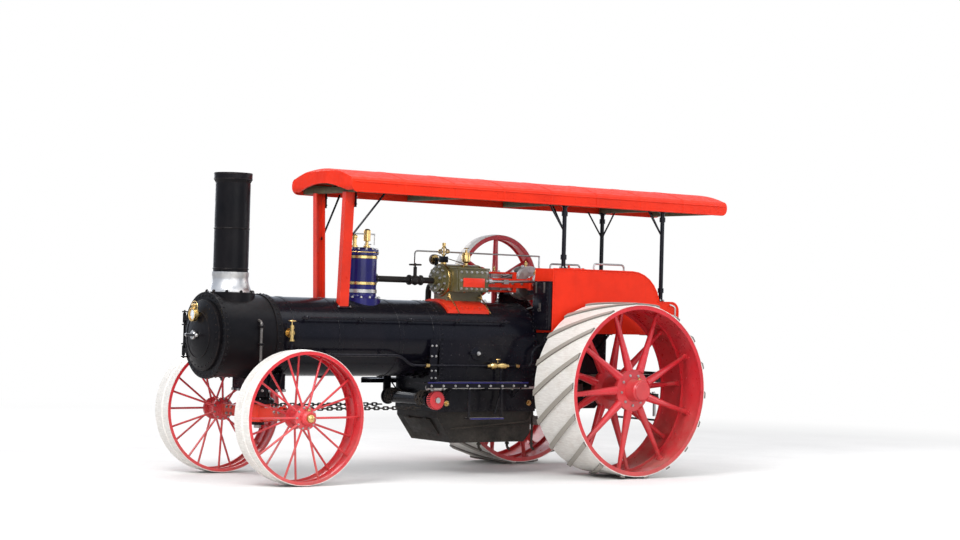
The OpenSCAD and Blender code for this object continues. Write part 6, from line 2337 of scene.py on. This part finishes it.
@dataclass
class FootboardDress(SubAssembly):
    """Nosing, bolts and step treads of the footboards."""

    back: float = 0.86
    front: float = 2.08
    edge: float = 0.575
    top: float = 0.912

    def build(self) -> None:
        """Builds the footboards' trim."""
        nosing, nuts, treads = [], [], []
        for s in BOTH:
            y = s * (self.edge - 0.003)
            nosing += [self.pipe([(self.back + 0.01, y, self.top), (self.front - 0.01, y, self.top)], 0.0075,
                0), self.pipe([(1.175, s * 0.589, 0.566), (1.575, s * 0.589, 0.566)], 0.0075, 0)]
            nuts += [*self.line((self.back + 0.05, s * self.edge, self.top - 0.03),
                (self.front - 0.05, s * self.edge, self.top - 0.03), 9, (0, s, 0)),
                *[self.spot((x, s * 0.562, 0.86), (0, s, 0)) for x in (1.18, 1.57)]]
            treads += [self.bar((self.back + 0.02, s * 0.385, self.top),
                (self.front - 0.22, s * 0.555, self.top + 0.004), 0.0015),
                self.bar((1.175, s * 0.505, 0.572), (1.575, s * 0.585, 0.576), 0.0015)]
        # The nosing's blue is painted reflection.
        self.join("footboard_nosing", nosing, self.paints.blue)
        self.nuts("footboard_nuts", nuts, 0.018, self.paints.steel)
        self.join("footboard_treads", treads, self.paints.tread_plate)


@dataclass
class AshPanDress(SubAssembly):
    """Rivets, damper doors, their rod and the drain pipes under the firebox."""

    half: float = 0.35

    def build(self) -> None:
        """Builds the ash pan's fittings."""
        rivets = []
        for s in BOTH:
            out, y = (0, s, 0), s * self.half
            rivets += [*self.line((0.7, y, 0.59), (1.75, y, 0.59), 18, out),
                *self.line((0.76, y, 0.345), (1.59, y, 0.345), 14, out),
                *self.line((1.77, y, 0.55), (1.62, y, 0.37), 5, out),
                *self.line((0.685, y, 0.56), (0.685, y, 0.44), 3, out)]
        self.rivets("ash_pan_rivets", rivets, 0.008, self.paints.iron)
        doors = []
        slope = [(1.7905, -0.22, 0.545), (1.7905, 0.22, 0.545), (1.672, 0.22, 0.4), (1.672, -0.22, 0.4)]
        normal = Vector((0.235, 0.0, -0.19)).normalized() * 0.01
        doors.append(self.plate(slope, tuple(normal), 0.002))
        for y in (-0.15, 0.15):
            doors.append(self.rod((1.8, y - 0.03, 0.548), (1.8, y + 0.03, 0.548), 0.01))
        doors += [self.pipe([(1.7, 0.12, 0.42), (1.62, 0.372, 0.46), (0.7, 0.372, 0.52), (0.52, 0.33, 0.92)],
            0.008, 0.05), self.bar((0.8, -0.353, 0.47), (1.5, -0.349, 0.49)),
            self.bar((0.8, 0.349, 0.47), (1.5, 0.353, 0.49))]
        self.join("dampers", doors, self.paints.iron)
        drains = []
        for x, y, start in ((1.21, 0.24, 0.325), (0.83, 0.2, 0.325), (0.6, 0.3, 0.66)):
            drains += [self.pipe([(x, y, start), (x, y, 0.26), (x - 0.03, y, 0.232)], 0.013, 0.02),
                self.rod((x, y, 0.285), (x, y, 0.305), 0.022, 6)]
        self.join("drain_pipes", drains, self.paints.iron)


@dataclass
class DrawbarDress(SubAssembly):
    """Nuts, the hitch pin on its chain and the wearing plate of the drawbar."""

    x: float = -1.18
    z: float = 0.74

    def build(self) -> None:
        """Builds the drawbar's fittings."""
        self.nuts("drawbar_nuts", [*[self.spot((self.x + 0.045, s * 0.2, self.z), (-1, 0, 0)) for s in BOTH],
            *[self.spot((self.x + 0.105, s * 0.09, self.z), (1, 0, 0)) for s in BOTH]], 0.034,
            self.paints.steel)
        self.join("drawbar_plates", [self.hoop((self.x, 0, self.z + 0.017), Axis.UP, 0.024, 0.044, 0.006, 40),
            self.hoop((self.x, 0, self.z - 0.017), Axis.UP, 0.024, 0.044, 0.006, 40),
            *[self.bar((self.x + 0.042, s * 0.09 - 0.02, self.z - 0.048),
            (self.x + 0.046, s * 0.09 + 0.02, self.z + 0.048)) for s in BOTH]], self.paints.iron)
        y = 0.15
        self.join("hitch_pin", [self.rod((self.x + 0.03, y, self.z - 0.2), (self.x + 0.03, y, self.z - 0.02),
            0.017, 20), self.hoop((self.x + 0.03, y, self.z - 0.012), Axis.UP, 0.0, 0.026, 0.014, 24),
            self.ring((self.x + 0.03, y, self.z + 0.016), (0, 1, 0), 0.018, 0.005, 20),
            self.ring((self.x + 0.036, y, self.z + 0.042), (1, 0, 0), 0.014, 0.004, 16),
            self.rod((self.x + 0.06, y, self.z + 0.035), (self.x + 0.06, y, self.z + 0.058), 0.008, 10),
            self.rod((self.x + 0.034, y, self.z + 0.054), (self.x + 0.062, y, self.z + 0.054), 0.004, 8)],
            self.paints.steel)
        ends = [self.spot((-0.22, s * 0.252, self.z + 0.02), (0, 0, 1)) for s in BOTH]
        self.nuts("drawbar_end_nuts", ends, 0.022, self.paints.steel)


@dataclass
class HornPlateDress(SubAssembly):
    """Rivets, bearing bolts and stiffening angles of the side plates."""

    inner: float = 0.2977
    outer: float = 0.3117

    def build(self) -> None:
        """Builds the side plates' trim."""
        rivets, nuts, angles = [], [], []
        outline = [(0.6197, 0.64), (0.6197, 1.56), (0.6, 1.7), (0.6, 1.81), (0.4, 1.81), (0.23, 1.72),
            (0.08, 1.56), (-0.33, 1.4), (-0.33, 0.76), (-0.2, 0.64)]
        for s in BOTH:
            for y, out in ((self.outer, s), (self.inner, -s)):
                rivets += [self.spot((x, s * y, z), (0, out, 0)) for x, z in along(outline, 0.085, 0.03)
                    if z < 1.75 and not (s > 0 and y > 0.31 and z > 1.4)]
            face = s * (self.outer + 0.02)
            nuts += self.circle((0, face, 0.865), Axis.LEFT, 0.095, 8, False, 0.39, flip=s < 0)
            angles += [self.bar((-0.328, s * 0.262, 1.02), (-0.306, s * 0.298, 1.39)),
                self.bar((0.585, s * 0.255, 0.99), (0.6195, s * 0.298, 1.54)),
                self.hoop((0, s * 0.236, 0.865), Axis.LEFT, 0.0585, 0.086, 0.01, 48)]
        self.rivets("side_plate_rivets", rivets, 0.009, self.paints.black)
        self.nuts("axle_bearing_nuts", nuts, 0.026, self.paints.steel)
        self.join("side_plate_angles", angles, self.paints.black)


# Studio


@dataclass
class Studio:
    """The floor, the backdrop, the lamps and the camera.

    Attributes:
        places: where the frame's main pieces are.
        camera_place: the camera, ahead of the rear axle, to the left and up.
        heading: its turn about the upright, in degrees.
        tilt: how far it looks up, in degrees.
        roll: its turn about its own line of sight, in degrees.
        lens: its focal length.
        sensor: the width of its sensor.
        fade: how far out the floor starts to turn white, and where it has.
    """

    places: Places
    camera_place: Point = (13.0495, 16.326, 1.641)
    heading: float = 143.7396
    tilt: float = 1.0546
    roll: float = 1.5626
    lens: float = 75.935
    sensor: float = 36.0
    fade: tuple[float, float] = (4.5, 13.0)

    def build(self) -> None:
        """Builds the studio."""
        self.build_floor()
        self.build_world()
        self.lamp("key_lamp", (8.5, 4.5, 8.0), 5.0, 1050)
        self.lamp("fill_lamp", (3.0, 12.0, 5.5), 8.0, 520)
        self.lamp("top_lamp", (-1.0, 0.5, 9.0), 8.0, 380)
        self.lamp("rear_lamp", (-9.0, 3.0, 5.0), 6.0, 380)
        self.lamp("far_lamp", (0.0, -11.0, 6.0), 7.0, 480)
        self.build_camera()

    @staticmethod
    def lamp(name: str, place: Point, size: float, power: float, aim: Point = (0.0, 0.0, 1.2)) -> None:
        """Adds a soft square lamp that faces a point.

        Args:
            name: the lamp's name.
            place: where it hangs.
            size: its side.
            power: its power in watts.
            aim: the point that it faces.
        """
        Bench.clear()
        turn = (Vector(aim) - Vector(place)).to_track_quat("-Z", "Y").to_euler()
        bpy.ops.object.light_add(type="AREA", location=place, rotation=turn)
        made = bpy.context.active_object
        made.name = name
        made.data.size = size
        made.data.energy = power

    def build_floor(self) -> None:
        """A pale floor, finely mottled, that fades into the white surround far out."""
        Bench.clear()
        bpy.ops.mesh.primitive_plane_add(size=400, location=(0, 0, 0))
        floor = Bench.settle(0)
        floor.name = floor.data.name = "floor"
        material = bpy.data.materials.new("floor")
        graph = Graph.fresh(material)
        place = graph.place()
        mottle = graph.plus(graph.noise(place, 0.7), graph.times(graph.noise(place, 26.0), 0.5))
        colour = graph.mix(graph.ramp(mottle, 0.5, 1.0), tint(0.8, 0.79, 0.78), tint(0.72, 0.71, 0.7))
        shader = graph.add("ShaderNodeBsdfPrincipled", Base_Color=colour, Roughness=0.9)
        white = graph.add("ShaderNodeEmission", Color=tint(1.0, 1.0, 1.0), Strength=1.0)
        length = graph.vector("LENGTH", place).outputs["Value"]
        seen = graph.add("ShaderNodeLightPath").outputs["Is Camera Ray"]
        far = graph.times(graph.ramp(length, *self.fade), seen)
        graph.add("ShaderNodeOutputMaterial", Surface=graph.blend(far, shader.outputs[0], white.outputs[0]))
        floor.data.materials.append(material)

    def build_world(self) -> None:
        """A white surround for the camera and a softer one for the light."""
        world = bpy.data.worlds.new("studio")
        graph = Graph.fresh(world)
        path = graph.add("ShaderNodeLightPath").outputs
        plain = graph.add("ShaderNodeBackground", Color=tint(0.92, 0.94, 0.98), Strength=0.42)
        mirrored = graph.add("ShaderNodeBackground", Color=tint(0.78, 0.86, 1.0), Strength=1.0)
        shown = graph.add("ShaderNodeBackground", Color=tint(1.0, 1.0, 1.0), Strength=1.0)
        bent = graph.math("MAXIMUM", path["Is Glossy Ray"], path["Is Transmission Ray"])
        light = graph.blend(bent, plain.outputs[0], mirrored.outputs[0])
        seen = graph.blend(path["Is Camera Ray"], light, shown.outputs[0])
        graph.add("ShaderNodeOutputWorld", Surface=seen)
        bpy.context.scene.world = world

    def build_camera(self) -> None:
        """The camera at the photograph's angle."""
        Bench.clear()
        x, y, z = self.camera_place
        turn = Matrix.Rotation(math.radians(self.heading), 4, "Z") @ Matrix.Rotation(math.radians(90
            + self.tilt), 4, "X")
        turn = turn @ Matrix.Rotation(math.radians(self.roll), 4, "Z")
        bpy.ops.object.camera_add(location=(x + self.places.rear_x, y, z), rotation=turn.to_euler())
        camera = bpy.context.active_object
        camera.name = "camera"
        camera.data.lens = self.lens
        camera.data.sensor_width = self.sensor
        bpy.context.scene.camera = camera
        bpy.context.scene.view_settings.view_transform = "Standard"


def dress_frame(nodes: dict[str, Piece], places: Places, paints: Paints) -> Finish:
    """Gives each CAD node its finish.

    Args:
        nodes: the frame's nodes by name.
        places: where the main pieces are.
        paints: the finishes.

    Returns:
        The rear wheels' finish.
    """
    base = paints.wheel_red
    rear = WheelFinish("rear_wheel_paint", base.slot, base.colour, base.shade, rough=base.rough, coat=base.coat,
        dust=0.3, dust_height=1.4, centre=(places.rear_x, places.rear_r), tread=places.rear_r - 0.026,
        lug=places.rear_r - 0.019)
    front = WheelFinish("front_wheel_paint", base.slot, base.colour, base.shade, rough=base.rough,
        coat=base.coat, dust=0.3, centre=(places.front_x, places.front_r), tread=places.front_r - 0.011)
    fly = WheelFinish("flywheel_paint", base.slot, base.colour, base.shade, rough=base.rough, coat=base.coat,
        dust=0.0, centre=(places.rear_x + 0.5, 1.9), tread=0.493)
    groups: dict[Finish, Sequence[str]] = {rear: ("rear_wheel_left", "rear_wheel_right"),
        front: ("front_wheel_left", "front_wheel_right"), fly: ("flywheel",),
        paints.stove: ("smokebox", "smokebox_door", "stack"), paints.brass: ("headlamp", "whistle", "governor",
        "feed_fittings", "backhead_fittings"), paints.iron: ("ash_pan", "fire_door", "steam_pipe", "rear_axle",
        "chain_left", "chain_right", "drawbar"), paints.gear_iron: ("gear_train",), paints.olive: ("cylinder",),
        paints.red: ("engine_frame", "front_posts", "front_axle"),
        paints.steel: ("connecting_rod", "valve_gear", "crankshaft", "steering_column"),
        # The dome's blue is painted reflection.
        paints.boards: ("platform",), paints.blue: ("steam_dome",),
        paints.canopy_red: ("water_tank", "tank_lid", "coal_bunker", "canopy")}
    chosen = {name: finish for finish, names in groups.items() for name in names}
    for name, node in nodes.items():
        paints.dress(node, chosen.get(name, paints.black))
    return rear


def main() -> None:
    """Builds the dressed engine and its studio."""
    logging.basicConfig(level=logging.INFO, format="%(message)s")
    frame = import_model()
    places = Places.read()
    paints = Paints(Effects())
    road_finish = dress_frame(frame["nodes"], places, paints)
    groups: list[SubAssembly] = [kind(places, paints) for kind in (BoilerDress, SmokeboxFront, ChimneyDress,
        CylinderDress, MotionDress, FlywheelDress, GearDress, CanopyDress, PostDress, TankDress, PlatformDress,
        FrontAxleDress, PedestalDress, SteeringDress, FootboardDress, AshPanDress, DrawbarDress,
        HornPlateDress)]
    for side in Side:
        name = side.name.lower()
        groups += [RearWheelDress(places, paints, body=f"rear_wheel_{name}", side=side, finish=road_finish),
            FrontWheelDress(places, paints, body=f"front_wheel_{name}", side=side)]
    for group in groups:
        group.build()
        log.info("%s: %s", type(group).__name__, ", ".join(piece.name for piece in group.made))
    Studio(places).build()


if __name__ == "__main__":
    main()
